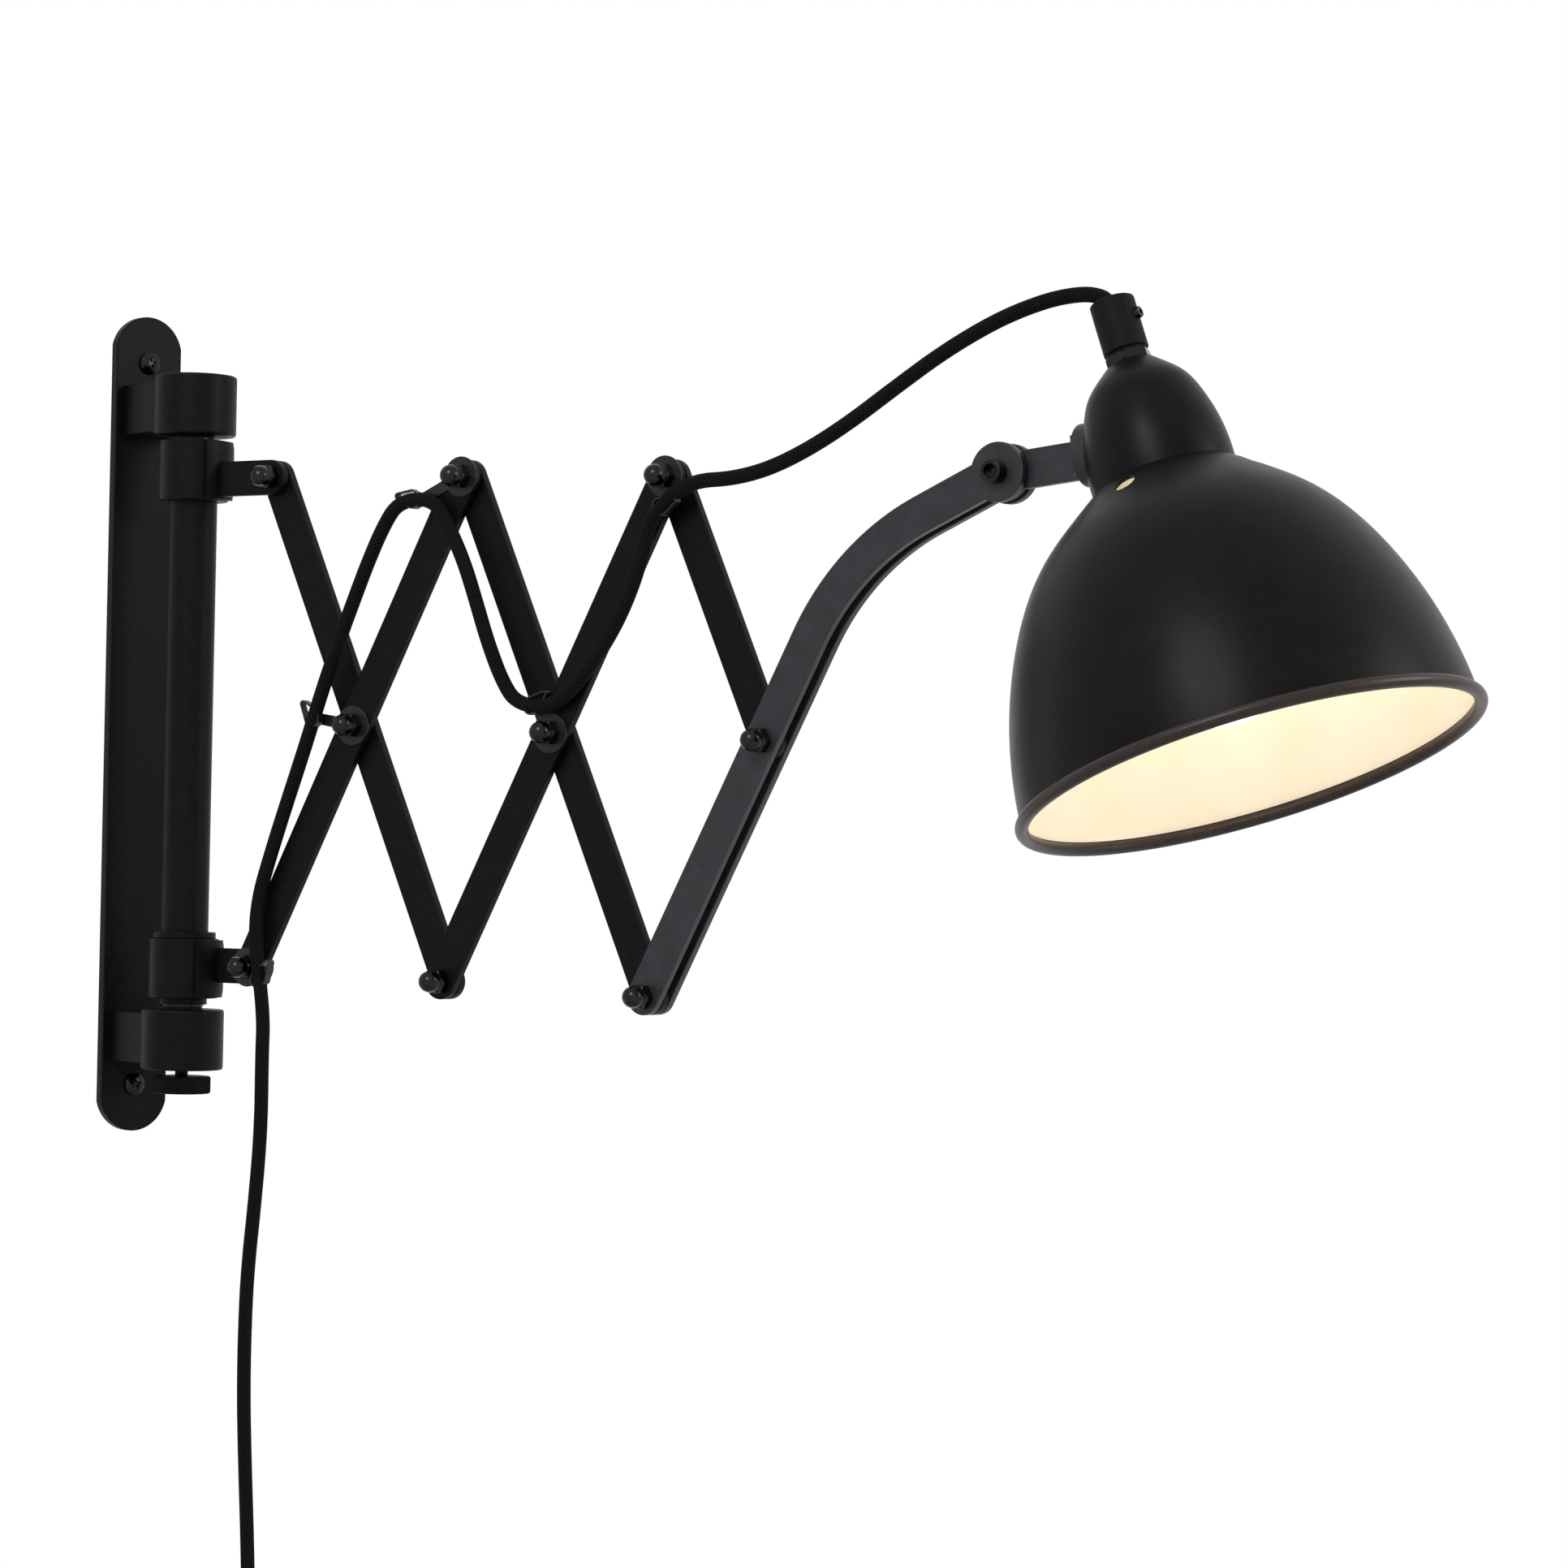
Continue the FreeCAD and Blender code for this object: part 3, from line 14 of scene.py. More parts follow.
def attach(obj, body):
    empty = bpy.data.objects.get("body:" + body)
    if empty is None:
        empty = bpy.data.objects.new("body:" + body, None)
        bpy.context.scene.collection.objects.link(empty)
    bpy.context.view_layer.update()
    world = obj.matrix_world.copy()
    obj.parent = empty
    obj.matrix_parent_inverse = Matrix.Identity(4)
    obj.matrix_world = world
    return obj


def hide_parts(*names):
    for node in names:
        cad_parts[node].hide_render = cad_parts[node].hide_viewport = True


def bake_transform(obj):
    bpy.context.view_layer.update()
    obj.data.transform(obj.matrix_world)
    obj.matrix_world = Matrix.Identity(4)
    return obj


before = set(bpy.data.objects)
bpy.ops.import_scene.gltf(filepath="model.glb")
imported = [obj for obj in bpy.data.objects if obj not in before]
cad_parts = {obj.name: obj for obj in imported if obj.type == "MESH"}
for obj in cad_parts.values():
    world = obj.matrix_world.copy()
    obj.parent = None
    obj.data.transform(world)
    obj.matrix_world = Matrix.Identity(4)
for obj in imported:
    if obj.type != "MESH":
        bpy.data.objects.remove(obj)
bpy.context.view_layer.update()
MM = 0.001

# ------------------------------------------------------------------ places of the four frames
# The tube stands off the plate and is swivelled 18 degrees. The arm hangs from the upper tab, a
# little below square. The head tab turns on its end, and the shade hangs from the tab's flange.
TUBE_X = 47.0
CELL = 125.0 * math.sin(math.radians(26.0))
ROW = 125.0 * math.cos(math.radians(26.0))
THICK = 4.0
BAR_R = 8.0
PLATE_THICK, PLATE_HALF_WIDTH, PLATE_HALF_HEIGHT, PLATE_END_RISE = 5.0, 17.5, 192.0, 14.0
WALL_HOLE_Z, WALL_HOLE_R = 170.0, 2.6
BLOCK_NEAR, BLOCK_FAR = 133.0, 161.0
COLLAR_R, TUBE_END = 16.0, 130.7
FRONT_FACE, BACK_FACE, REAR_FACE = -3.25, 5.55, 10.35
V_FRONT, V_BACK, V_REAR = -1.25, 3.55, 8.35
MID_GAP, REAR_GAP = 1.15, 5.95
CORD_R = 3.2
CORD_V = -7.82
LOWER_PIVOT = (41.29, -112.26)
HEAD = (428.01, 113.94)
SCREW_V = V_BACK - 9.8
WORLD = Matrix.Scale(MM, 4)


def turn(degrees, axis):
    return Matrix.Rotation(math.radians(degrees), 4, axis)


def shift(x, y, z):
    return Matrix.Translation((x, y, z))


TUBE = WORLD @ shift(TUBE_X, 0, 0) @ turn(18.0, "Z")
ARM = TUBE @ shift(47.8, 0, ROW) @ turn(1.66, "Y") @ shift(-44.0, 0, -ROW)
HEAD_AT = ARM @ shift(HEAD[0], 0, HEAD[1]) @ turn(-8.2, "Y")
shade_turn = turn(-3.0, "X") @ turn(-14.2, "Y")
SHADE_AT = HEAD_AT @ Matrix.Translation(
    Vector((46.5, SCREW_V, 0)) - shade_turn @ Vector((-27.5, 0, -28.0))) @ shade_turn


def top(i):
    return 44.0 + 2 * CELL * i, ROW


def bottom(i):
    return 44.0 + 2 * CELL * i, -ROW


def middle(i):
    return 44.0 + CELL * (2 * i - 1), 0.0


# ------------------------------------------------------------------ satin black powder coat
# Polyester powder baked on steel: a fine orange peel, a faint mottle, and a soft broad sheen.


def colour(text):
    """A linear colour from its sRGB hex."""
    parts = [int(text[i:i + 2], 16) / 255 for i in (1, 3, 5)]
    return [*(p / 12.92 if p <= 0.04045 else ((p + 0.055) / 1.055) ** 2.4 for p in parts), 1.0]


def add(tree, kind, inputs=(), **settings):
    """Adds a shader node. An input given as a socket is linked, any other value is set."""
    made = tree.nodes.new("ShaderNode" + kind)
    for key, value in settings.items():
        setattr(made, key, value)
    for key, value in dict(inputs).items():
        if isinstance(value, bpy.types.NodeSocket):
            tree.links.new(value, made.inputs[key])
        else:
            made.inputs[key].default_value = value
    return made.outputs


def material(name):
    made = bpy.data.materials.new(name)
    made.use_nodes = True
    made.node_tree.nodes.clear()
    return made, made.node_tree


def grain(tree, size_mm, detail=2.0):
    """A noise whose grain has a real size, in the piece's own coordinates."""
    where = add(tree, "TexCoord")["Object"]
    return add(tree, "TexNoise", {"Vector": where, "Scale": 1 / (size_mm * MM), "Detail": detail})["Fac"]


def powder_coat(name, dark, light, roughness, mottle_mm=5.0, gloss=0.08):
    made, tree = material(name)
    peel = grain(tree, 0.55)
    mottle = grain(tree, mottle_mm, 4.0)
    speck = add(tree, "MapRange", {"Value": grain(tree, 0.35, 0.0), "From Min": 0.66, "From Max": 0.74})[0]
    tone = add(tree, "MapRange", {"Value": mottle, "From Min": 0.35, "From Max": 0.7})[0]
    shade = add(tree, "Mix", {"Factor": tone, 6: colour(dark), 7: colour(light)}, data_type="RGBA")[2]
    flecked = add(tree, "Mix", {"Factor": add(tree, "Math", {0: speck, 1: 0.25}, operation="MULTIPLY")[0],
                                6: shade, 7: colour("#3a3b3e")}, data_type="RGBA")[2]
    rough = add(tree, "MapRange", {"Value": mottle, "To Min": roughness - 0.05,
                                   "To Max": roughness + 0.07})[0]
    bump = add(tree, "Bump", {"Height": peel, "Strength": 0.25, "Distance": 0.04 * MM})[0]
    surface = add(tree, "BsdfPrincipled", {"Base Color": flecked, "Roughness": rough, "Normal": bump,
                                           "Specular IOR Level": gloss})[0]
    add(tree, "OutputMaterial", {"Surface": surface})
    return made


rail_coat = powder_coat("powder_coat_rail", "#080708", "#0f0c0a", 0.42)
bar_coat = powder_coat("powder_coat_bars", "#07070a", "#0c0c0f", 0.44)
arm_coat = powder_coat("powder_coat_arm", "#181b1f", "#25282d", 0.42, 8.0, 0.35)
shade_coat = powder_coat("powder_coat_shade", "#030304", "#08080a", 0.36, 12.0, 0.1)
# The rolled bead of the shade gets a warm brown coat of its own.
rim_coat = powder_coat("brown_bead_coat", "#1c130f", "#2b1f18", 0.36, 3.0, 0.3)


# ------------------------------------------------------------------ wall plate
# A 5 mm steel strip with round-topped ends, its edges broken, and two screw holes.


def piece(name, mesh, at, coat, body, nodes=(), sharp_deg=38.0, even=True):
    """Puts a mesh in the row's frame, gives it its finish, and lets it ride on its body."""
    mesh.transform(at)
    mesh.materials.clear()
    mesh.materials.append(coat)
    mesh.shade_smooth()
    mesh.set_sharp_from_angle(angle=math.radians(sharp_deg))
    made = bpy.data.objects.new(name, mesh)
    bpy.context.scene.collection.objects.link(made)
    if even:
        weighted = made.modifiers.new("even_normals", "WEIGHTED_NORMAL")
        weighted.keep_sharp = True
    if body:
        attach(made, body)
    if nodes:
        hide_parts(*nodes)
    return made


def arc(centre, radius, start_deg, end_deg, steps=24):
    """Points on a circle in the plane, from one angle to another."""
    angles = np.radians(np.linspace(start_deg, end_deg, steps + 1))
    return [(centre[0] + radius * math.cos(a), centre[1] + radius * math.sin(a)) for a in angles]


def ring_loop(centre, radius, steps=48):
    return arc(centre, radius, 0, 360, steps)[:-1]


def flat_piece(loops, thick=THICK, edge=0.4, upright=True):
    """A flat mesh from closed outlines, the first the outside and the others holes, edges rounded.

    Upright, its outline lies in u and z and its thickness runs along v.
    """
    curve = bpy.data.curves.new("outline", "CURVE")
    curve.dimensions = "2D"
    curve.fill_mode = "BOTH"
    for loop in loops:
        spline = curve.splines.new("POLY")
        spline.points.add(len(loop) - 1)
        spline.points.foreach_set("co", np.array([(x, y, 0, 1) for x, y in loop], float).ravel())
        spline.use_cyclic_u = True
    curve.extrude = thick / 2 - edge
    curve.bevel_depth = edge
    curve.bevel_resolution = 2
    curve.offset = -edge
    holder = bpy.data.objects.new("outline", curve)
    bpy.context.scene.collection.objects.link(holder)
    bpy.context.view_layer.update()
    mesh = bpy.data.meshes.new_from_object(holder.evaluated_get(bpy.context.evaluated_depsgraph_get()))
    bpy.data.objects.remove(holder)
    if upright:
        mesh.transform(turn(90, "X"))
    return mesh


crown = (PLATE_END_RISE ** 2 + PLATE_HALF_WIDTH ** 2) / (2 * PLATE_END_RISE)
crown_half = math.degrees(math.asin(PLATE_HALF_WIDTH / crown))
outline = (arc((0, PLATE_HALF_HEIGHT - crown), crown, 90 - crown_half, 90 + crown_half)
           + arc((0, crown - PLATE_HALF_HEIGHT), crown, 270 - crown_half, 270 + crown_half))
wall_holes = [ring_loop((0, z), WALL_HOLE_R) for z in (WALL_HOLE_Z, -WALL_HOLE_Z)]
plate_mesh = flat_piece([outline] + wall_holes, PLATE_THICK, 0.6)
to_wall = Matrix(((0, 1, 0, PLATE_THICK / 2), (1, 0, 0, 0), (0, 0, 1, 0), (0, 0, 0, 1)))
plate_mesh.flip_normals()
piece("wall_plate_front", plate_mesh, WORLD @ to_wall, rail_coat, "wall_rail", ["wall_plate"])


# ------------------------------------------------------------------ blackened fasteners
# Black nickel on turned steel: dark mirror gloss, with a slight haze from the bath.
nickel, tree = material("black_nickel")
haze = grain(tree, 1.6, 3.0)
tree_rough = add(tree, "MapRange", {"Value": haze, "To Min": 0.14, "To Max": 0.3})[0]
surface = add(tree, "BsdfPrincipled", {"Base Color": colour("#2a2a2c"), "Metallic": 1.0,
                                       "Roughness": tree_rough})[0]
add(tree, "OutputMaterial", {"Surface": surface})

# ------------------------------------------------------------------ wall screws
# Two pan-head screws with a cross recess hold the plate. They fill the plate's holes.


def rounded(points, fillet, steps=5):
    """A polyline whose inner corners are rounded with a small parabola."""
    pts = [np.array(p, float) for p in points]
    out = [pts[0]]
    for a, c, b in zip(pts, pts[1:], pts[2:]):
        la, lb = np.linalg.norm(a - c), np.linalg.norm(b - c)
        reach = min(fillet, 0.45 * la, 0.45 * lb)
        p, q = c + (a - c) / la * reach, c + (b - c) / lb * reach
        for t in np.linspace(0, 1, steps):
            out.append((1 - t) ** 2 * p + 2 * t * (1 - t) * c + t * t * q)
    out.append(pts[-1])
    return [tuple(p) for p in out]


def turned(profile, sides=96, limit=None):
    """A mesh turned about z from (radius, z) points. A limit caps the radius by its angle."""
    angle = 2 * np.pi * np.arange(sides) / sides
    cap = np.full(sides, 1e9) if limit is None else limit(angle)
    verts, rows = [], []
    for radius, z in profile:
        if radius < 1e-6:
            rows.append([len(verts)] * sides)
            verts.append((0, 0, z))
            continue
        r = np.minimum(radius, cap)
        rows.append(list(range(len(verts), len(verts) + sides)))
        verts.extend(zip(r * np.cos(angle), r * np.sin(angle), np.full(sides, z)))
    faces = []
    for low, high in zip(rows, rows[1:]):
        for i in range(sides):
            j = (i + 1) % sides
            corners = [low[i], low[j], high[j], high[i]]
            face = [c for k, c in enumerate(corners) if c != corners[k - 1]]
            if len(face) > 2:
                faces.append(face)
    mesh = bpy.data.meshes.new("turned")
    mesh.from_pydata([tuple(map(float, v)) for v in verts], [], faces)
    return mesh


def join(meshes):
    """Several meshes as one."""
    verts, faces = [], []
    for mesh in meshes:
        base = len(verts)
        verts += [tuple(v.co) for v in mesh.vertices]
        faces += [[base + i for i in p.vertices] for p in mesh.polygons]
    made = bpy.data.meshes.new("joined")
    made.from_pydata(verts, [], faces)
    return made


def moved(mesh, matrix):
    made = mesh.copy()
    made.transform(matrix)
    return made


def bar_box(x, y, z, half_x, half_y, half_z):
    """A plain box about a point."""
    corners = [(x + sx * half_x, y + sy * half_y, z + sz * half_z)
               for sx in (-1, 1) for sy in (-1, 1) for sz in (-1, 1)]
    faces = [(0, 1, 3, 2), (4, 6, 7, 5), (0, 4, 5, 1), (2, 3, 7, 6), (0, 2, 6, 4), (1, 5, 7, 3)]
    mesh = bpy.data.meshes.new("box")
    mesh.from_pydata(corners, [], faces)
    return mesh


def pan_head():
    """A domed head with a cross recess: sunk within 0.62 of either axis, out to a radius of 2.2."""
    sides = 160
    angle = 2 * np.pi * np.arange(sides) / sides
    rings = np.concatenate([np.linspace(0, 2.4, 19), np.linspace(2.6, 5.2, 11)])
    verts, faces = [], []
    for r in rings:
        for a in angle:
            across = min(abs(r * math.sin(a)), abs(r * math.cos(a)))
            depth = 1.0 * np.clip((0.62 - across) / 0.16, 0, 1) * np.clip((2.2 - r) / 0.3, 0, 1)
            verts.append((r * math.cos(a), r * math.sin(a), 2.6 - 1.5 * (r / 5.2) ** 2.4 - depth))
    for a in angle:
        verts.append((5.2 * math.cos(a), 5.2 * math.sin(a), 0.0))
    for k in range(len(rings)):
        for i in range(sides):
            j = (i + 1) % sides
            faces.append((k * sides + i, (k + 1) * sides + i, (k + 1) * sides + j, k * sides + j)[::-1])
    mesh = bpy.data.meshes.new("pan")
    mesh.from_pydata(verts, [], faces)
    mesh.flip_normals()
    return mesh


for name, z in (("wall_screw_upper", WALL_HOLE_Z), ("wall_screw_lower", -WALL_HOLE_Z)):
    head = moved(pan_head(), turn(20, "Z"))
    shank = turned([(2.3, -4.9), (2.3, 0.1)], 32)
    both = moved(join([head, shank]), shift(PLATE_THICK, 0, z) @ turn(90, "Y"))
    piece(name, both, WORLD, nickel, "wall_rail", even=False)

# ------------------------------------------------------------------ end blocks
# Turned bosses of 38 mm on the tube's axis, each welded to a short neck on the plate.


def disc_profile(radius, z0, z1, fillet, bore=0.0):
    """Half section of a disc or ring with rounded corners."""
    return rounded([(bore, z0), (radius, z0), (radius, z1), (bore, z1)], fillet)


for name, node, side in (("upper_end_block", "upper_block", 1), ("lower_end_block", "lower_block", -1)):
    z0, z1 = sorted((side * BLOCK_NEAR, side * BLOCK_FAR))
    boss = moved(turned(disc_profile(19.0, z0, z1, 1.5), 128), shift(TUBE_X, 0, 0))
    neck = bar_box(TUBE_X / 2, 0, (z0 + z1) / 2, TUBE_X / 2 - PLATE_THICK, 13.0, 11.5)
    piece(name, join([boss, neck]), WORLD, rail_coat, "wall_rail", [node])

# ------------------------------------------------------------------ thumb screw
# A 27 mm knob with straight knurling, on an M6 shank that locks the tube.


def knurl(angle):
    return 13.5 - 0.55 * np.abs(np.sin(angle * 30)) ** 0.7


knob_half = [(0, -172), (12.9, -172), (13.6, -171.2), (13.6, -164.8), (12.9, -164), (0, -164)]
knob = turned(rounded(knob_half, 0.3), 480, knurl)
shank = turned([(3.0, -164.2), (3.0, -135.0), (0, -135.0)], 48)
piece("thumb_knob", moved(join([knob, shank]), shift(TUBE_X, 0, 0)), WORLD, rail_coat,
      "thumb_screw", ["thumb_screw"], even=False)

# ------------------------------------------------------------------ turning tube and its collars
# A 22 mm tube turns in the blocks. The upper collar is fixed, the lower one slides with its bush.
wall_line = [(9.0, -TUBE_END), (11.0, -TUBE_END), (11.0, TUBE_END), (9.0, TUBE_END), (9.0, -TUBE_END)]
tube_mesh = turned(wall_line, 96)
piece("turning_tube_skin", tube_mesh, TUBE, rail_coat, "turning_tube", ["slide_tube"])
collar = turned(disc_profile(COLLAR_R, TUBE_END - 28.0, TUBE_END, 0.9, 11.03), 112)
piece("fixed_collar", collar, TUBE, rail_coat, "turning_tube", ["upper_collar"])
low = LOWER_PIVOT[1] - 15.5
sliding = turned(disc_profile(COLLAR_R, low, low + 27.5, 0.9, 13.33), 112)
piece("sliding_collar", sliding, TUBE, rail_coat, "lower_slide", ["lower_collar"])
bush_top = low + 27.5
bush = turned(rounded([(11.7, low), (13.3, low), (13.3, bush_top), (14.5, bush_top), (14.5, bush_top + 3),
                       (11.7, bush_top + 3), (11.7, low)], 0.5), 112)
piece("collar_bush", bush, TUBE, rail_coat, "lower_slide", ["slide_bush"])


# ------------------------------------------------------------------ collar tabs with their saddles
# A curved saddle hugs each collar and a flat tab runs from it to the first pivot.


def saddle(z_mid, half_height, inner, outer, half_deg):
    """A piece of a cylinder wall, as a grid over angle and height, closed on all six sides."""
    angles = np.radians(np.linspace(-half_deg, half_deg, 33))
    levels = np.linspace(-half_height, half_height, 9)
    bulge = [outer - 0.5 * (abs(l) / half_height) ** 12 for l in levels]
    section = [(inner, -half_height)] + list(zip(bulge, levels)) + [(inner, half_height)]
    verts = [(r * math.cos(a), r * math.sin(a), z_mid + z) for a in angles for r, z in section]
    n = len(section)
    faces = [list(range(n)), list(range((len(angles) - 1) * n, len(angles) * n))[::-1]]
    for k in range(len(angles) - 1):
        for i in range(n):
            j = (i + 1) % n
            faces.append([k * n + i, (k + 1) * n + i, (k + 1) * n + j, k * n + j])
    mesh = bpy.data.meshes.new("saddle")
    mesh.from_pydata(verts, [], faces)
    mesh.flip_normals()
    return mesh


def capsule(start, end, radius, steps=24):
    """The outline of a bar with round ends between two points."""
    a = math.degrees(math.atan2(end[1] - start[1], end[0] - start[0]))
    return arc(end, radius, a - 90, a + 90, steps) + arc(start, radius, a + 90, a + 270, steps)


for name, node, (u, z), v, bottom_z, body in (
        ("upper_tab_plate", "upper_tab", (47.8, ROW), V_FRONT, TUBE_END - 28.0, "turning_tube"),
        ("lower_tab_plate", "lower_tab", LOWER_PIVOT, V_BACK, low, "lower_slide")):
    half = 14.0 if node == "upper_tab" else 13.75
    edge = [(17.3, z - BAR_R)] + arc((u, z), BAR_R, -90, 90) + [(17.3, z + BAR_R)]
    tab = flat_piece([edge, ring_loop((u, z), 3.03)])
    hug = saddle(bottom_z + half, half - 0.5, 16.03, 18.53, 32.0)
    piece(name, join([moved(tab, shift(0, v, 0)), hug]), TUBE, rail_coat, body, [node])

# ------------------------------------------------------------------ scissor bars
# Flat bars 16 x 4 mm with round ends: three fall in the back layer, two rise in the front one.
BARS = (("bar_a1", top(0), bottom(1), V_BACK, [top(0), middle(1), bottom(1)]),
        ("bar_b1", bottom(0), top(1), V_FRONT, [bottom(0), middle(1), top(1)]),
        ("bar_a2", top(1), bottom(2), V_BACK, [top(1), middle(2), bottom(2)]),
        ("bar_b2", bottom(1), top(2), V_FRONT, [bottom(1), middle(2), top(2)]),
        ("bar_a3", top(2), middle(3), V_BACK, [top(2), middle(3)]))
for name, start, end, v, holes in BARS:
    mesh = flat_piece([capsule(start, end, BAR_R)] + [ring_loop(h, 3.06) for h in holes])
    piece(name + "_strip", moved(mesh, shift(0, v, 0)), ARM, bar_coat, name, [name])

# ------------------------------------------------------------------ curved arm
# Two plates bent in their plane, one before and one behind the bars, with a round boss at the head.
rise, tip = 64.0, 26.0
ARM_STRAIGHT, BEND_R, BOSS_R = 48.4, 115.0, 12.5
rise_cos, rise_sin = math.cos(math.radians(rise)), math.sin(math.radians(rise))
bend_start = (middle(3)[0] + ARM_STRAIGHT * rise_cos, ARM_STRAIGHT * rise_sin)
bend = (bend_start[0] + BEND_R * rise_sin, bend_start[1] - BEND_R * rise_cos)
spread = math.degrees(math.asin(BAR_R / BOSS_R))
arm_outline = (arc(bottom(2), BAR_R, rise + 90, rise + 270)
               + arc(bend, BEND_R - BAR_R, 90 + rise, 90 + tip, 32)
               + arc(HEAD, BOSS_R, tip + 180 + spread, tip + 540 - spread, 40)
               + arc(bend, BEND_R + BAR_R, 90 + tip, 90 + rise, 32))
for name, node, v in (("arm_front", "arm_front_plate", V_FRONT), ("arm_rear", "arm_rear_plate", V_REAR)):
    mesh = flat_piece([arm_outline] + [ring_loop(h, 3.03) for h in (bottom(2), middle(3), HEAD)])
    piece(name, moved(mesh, shift(0, v, 0)), ARM, arm_coat, "curved_arm", [node])

# ------------------------------------------------------------------ cap nuts and pivot bolts
# Domed M6 cap nuts in front, button heads behind. Both are turned; a hexagon limits the nut's foot.
TO_FRONT = turn(90, "X")


def hexagon(flats, turn=0.0):
    """The radius of a hexagon by angle, as a limit for a turned form."""
    def limit(angle):
        within = np.mod(angle + turn, math.pi / 3) - math.pi / 6
        return flats / 2 / np.cos(within)
    return limit


def cap_nut():
    profile = [(3.0, 0.0), (5.1, 0.0), (5.8, 0.5), (5.8, 4.4), (4.95, 5.0), (4.75, 5.05), (4.75, 7.2)]
    dome = np.linspace(0.08, math.pi / 2 - 0.02, 20)
    profile += [(4.75 * math.cos(a), 7.2 + 4.75 * math.sin(a)) for a in dome]
    return turned(profile + [(0, 11.95)], 96, hexagon(10.0))


def bolt(length):
    profile = [(0, -3.4), (3.4, -3.3), (5.2, -1.6), (5.2, 0.0), (3.0, 0.0), (3.0, length), (0, length)]
    return turned(rounded(profile, 0.7), 64)


def washer(thick):
    return turned([(3.06, 0), (7.0, 0), (7.0, thick), (3.06, thick), (3.06, 0)], 64)


def at_pivot(pivot, v):
    """Along -v, from a point of the arm: the nut's side of a bolt."""
    return shift(pivot[0], v, pivot[1]) @ TO_FRONT


PIVOTS = (("upper_tab", [top(0)], -3.25, 5.85, [MID_GAP], "turning_tube", 30),
          ("lower_tab", [bottom(0)], -4.35, 5.55, [MID_GAP], "lower_slide", 42),
          ("bar_a1", [bottom(1)], -3.55, 5.55, [MID_GAP], "bar_a1", 30),
          ("bar_b1", [middle(1), top(1)], -4.05, 5.85, [MID_GAP], "bar_b1", 30),
          ("bar_b2", [middle(2), top(2)], -4.05, 5.85, [MID_GAP], "bar_b2", 30),
          ("arm", [bottom(2), middle(3)], -3.25, 10.35, [MID_GAP, REAR_GAP], "curved_arm", 30))
for name, places, nut_v, head_v, gaps, body, nut_turn in PIVOTS:
    suffix = "s" if len(places) > 1 else ""
    nuts = [moved(cap_nut(), at_pivot(p, nut_v) @ turn(nut_turn - 30, "Z")) for p in places]
    nut_piece = piece(name + "_domes", join(nuts), ARM, nickel, body, [name + "_cap_nut" + suffix])
    parts = [moved(bolt(head_v - nut_v + 6.5), at_pivot(p, head_v)) for p in places]
    parts += [moved(washer(0.7), at_pivot(p, v + 0.35)) for p in places for v in gaps]
    piece(name + "_pins", join(parts), ARM, nickel, body, [name + "_bolt" + suffix])

# ------------------------------------------------------------------ head pivot
# A socket head screw through both bosses and the head tab, with two thin washers and a nut behind.
recess = hexagon(5.0)
outer = rounded([(2.9, 2.8), (2.9, 6.0), (4.6, 6.0), (5.0, 5.6), (5.0, 0.0), (3.0, 0.0), (3.0, -19.5),
                 (0, -19.5)], 0.3)
socket = turned([(0, 2.8)] + [(2.85, 2.8), (2.85, 5.9)], 96, recess)
parts = [moved(join([turned(outer, 96), socket]), at_pivot(HEAD, FRONT_FACE))]
parts += [moved(washer(0.7), at_pivot(HEAD, v + 0.35)) for v in (MID_GAP, REAR_GAP)]
piece("head_socket_screw", join(parts), ARM, nickel, "curved_arm", ["head_bolt"])
nut = turned([(3.0, 0), (5.1, 0), (5.8, 0.5), (5.8, 4.5), (5.1, 5.0), (3.0, 5.0)], 96, hexagon(10.0))
nut = moved(nut, at_pivot(HEAD, REAR_FACE + 5))
piece("head_lock_nut", nut, ARM, nickel, "curved_arm", ["head_nut"])

# ------------------------------------------------------------------ head tab and its screw
# A tab between the bosses whose end is bent forwards into a flange; a button screw holds the shade.
TAB_BOSS_R, TAB_REACH = 11.5, 43.5
opening = math.degrees(math.asin(BAR_R / TAB_BOSS_R))
edge = arc((0, 0), TAB_BOSS_R, opening, 360 - opening, 40) + [(TAB_REACH, -BAR_R), (TAB_REACH, BAR_R)]
tab = flat_piece([edge, ring_loop((0, 0), 3.06)])
flange = bar_box(42.25, BACK_FACE - 9.65, 0, 1.25, 9.65, 8.0)
piece("head_tab_plate", join([moved(tab, shift(0, V_BACK, 0)), flange]), HEAD_AT, arm_coat, "head_bracket",
      ["head_tab"])
TO_SCREW = shift(41.0, SCREW_V, 0) @ turn(-90, "Y")
button = turned(rounded([(2.5, -11.0), (2.5, 0.0), (4.6, 0.0), (4.6, 1.4), (3.4, 2.8), (0, 3.0)], 0.6), 64)
teeth = turned([(2.6, 0.02), (5.6, 0.02), (5.6, 0.7), (2.6, 0.7)], 144,
               lambda a: 5.1 + 0.45 * (np.sin(a * 18) > 0))
piece("tab_button_screw", moved(join([button, teeth]), TO_SCREW), HEAD_AT, nickel, "head_bracket",
              ["tab_screw"])

# ------------------------------------------------------------------ shade
# Spun steel: a domed neck, a crease and a bell with a rolled bead, cream enamel inside. Four round
# vents are cut through the shoulder.
NECK = [(0.0, 10.0), (3.2, 13.6), (10.8, 20.9), (19.9, 25.1), (28.0, 27.5), (50.9, 29.6)]
BELL = [(50.9, 29.6), (58.4, 39.2), (75.0, 58.0), (104.0, 76.7), (135.7, 88.0), (174.0, 93.5)]


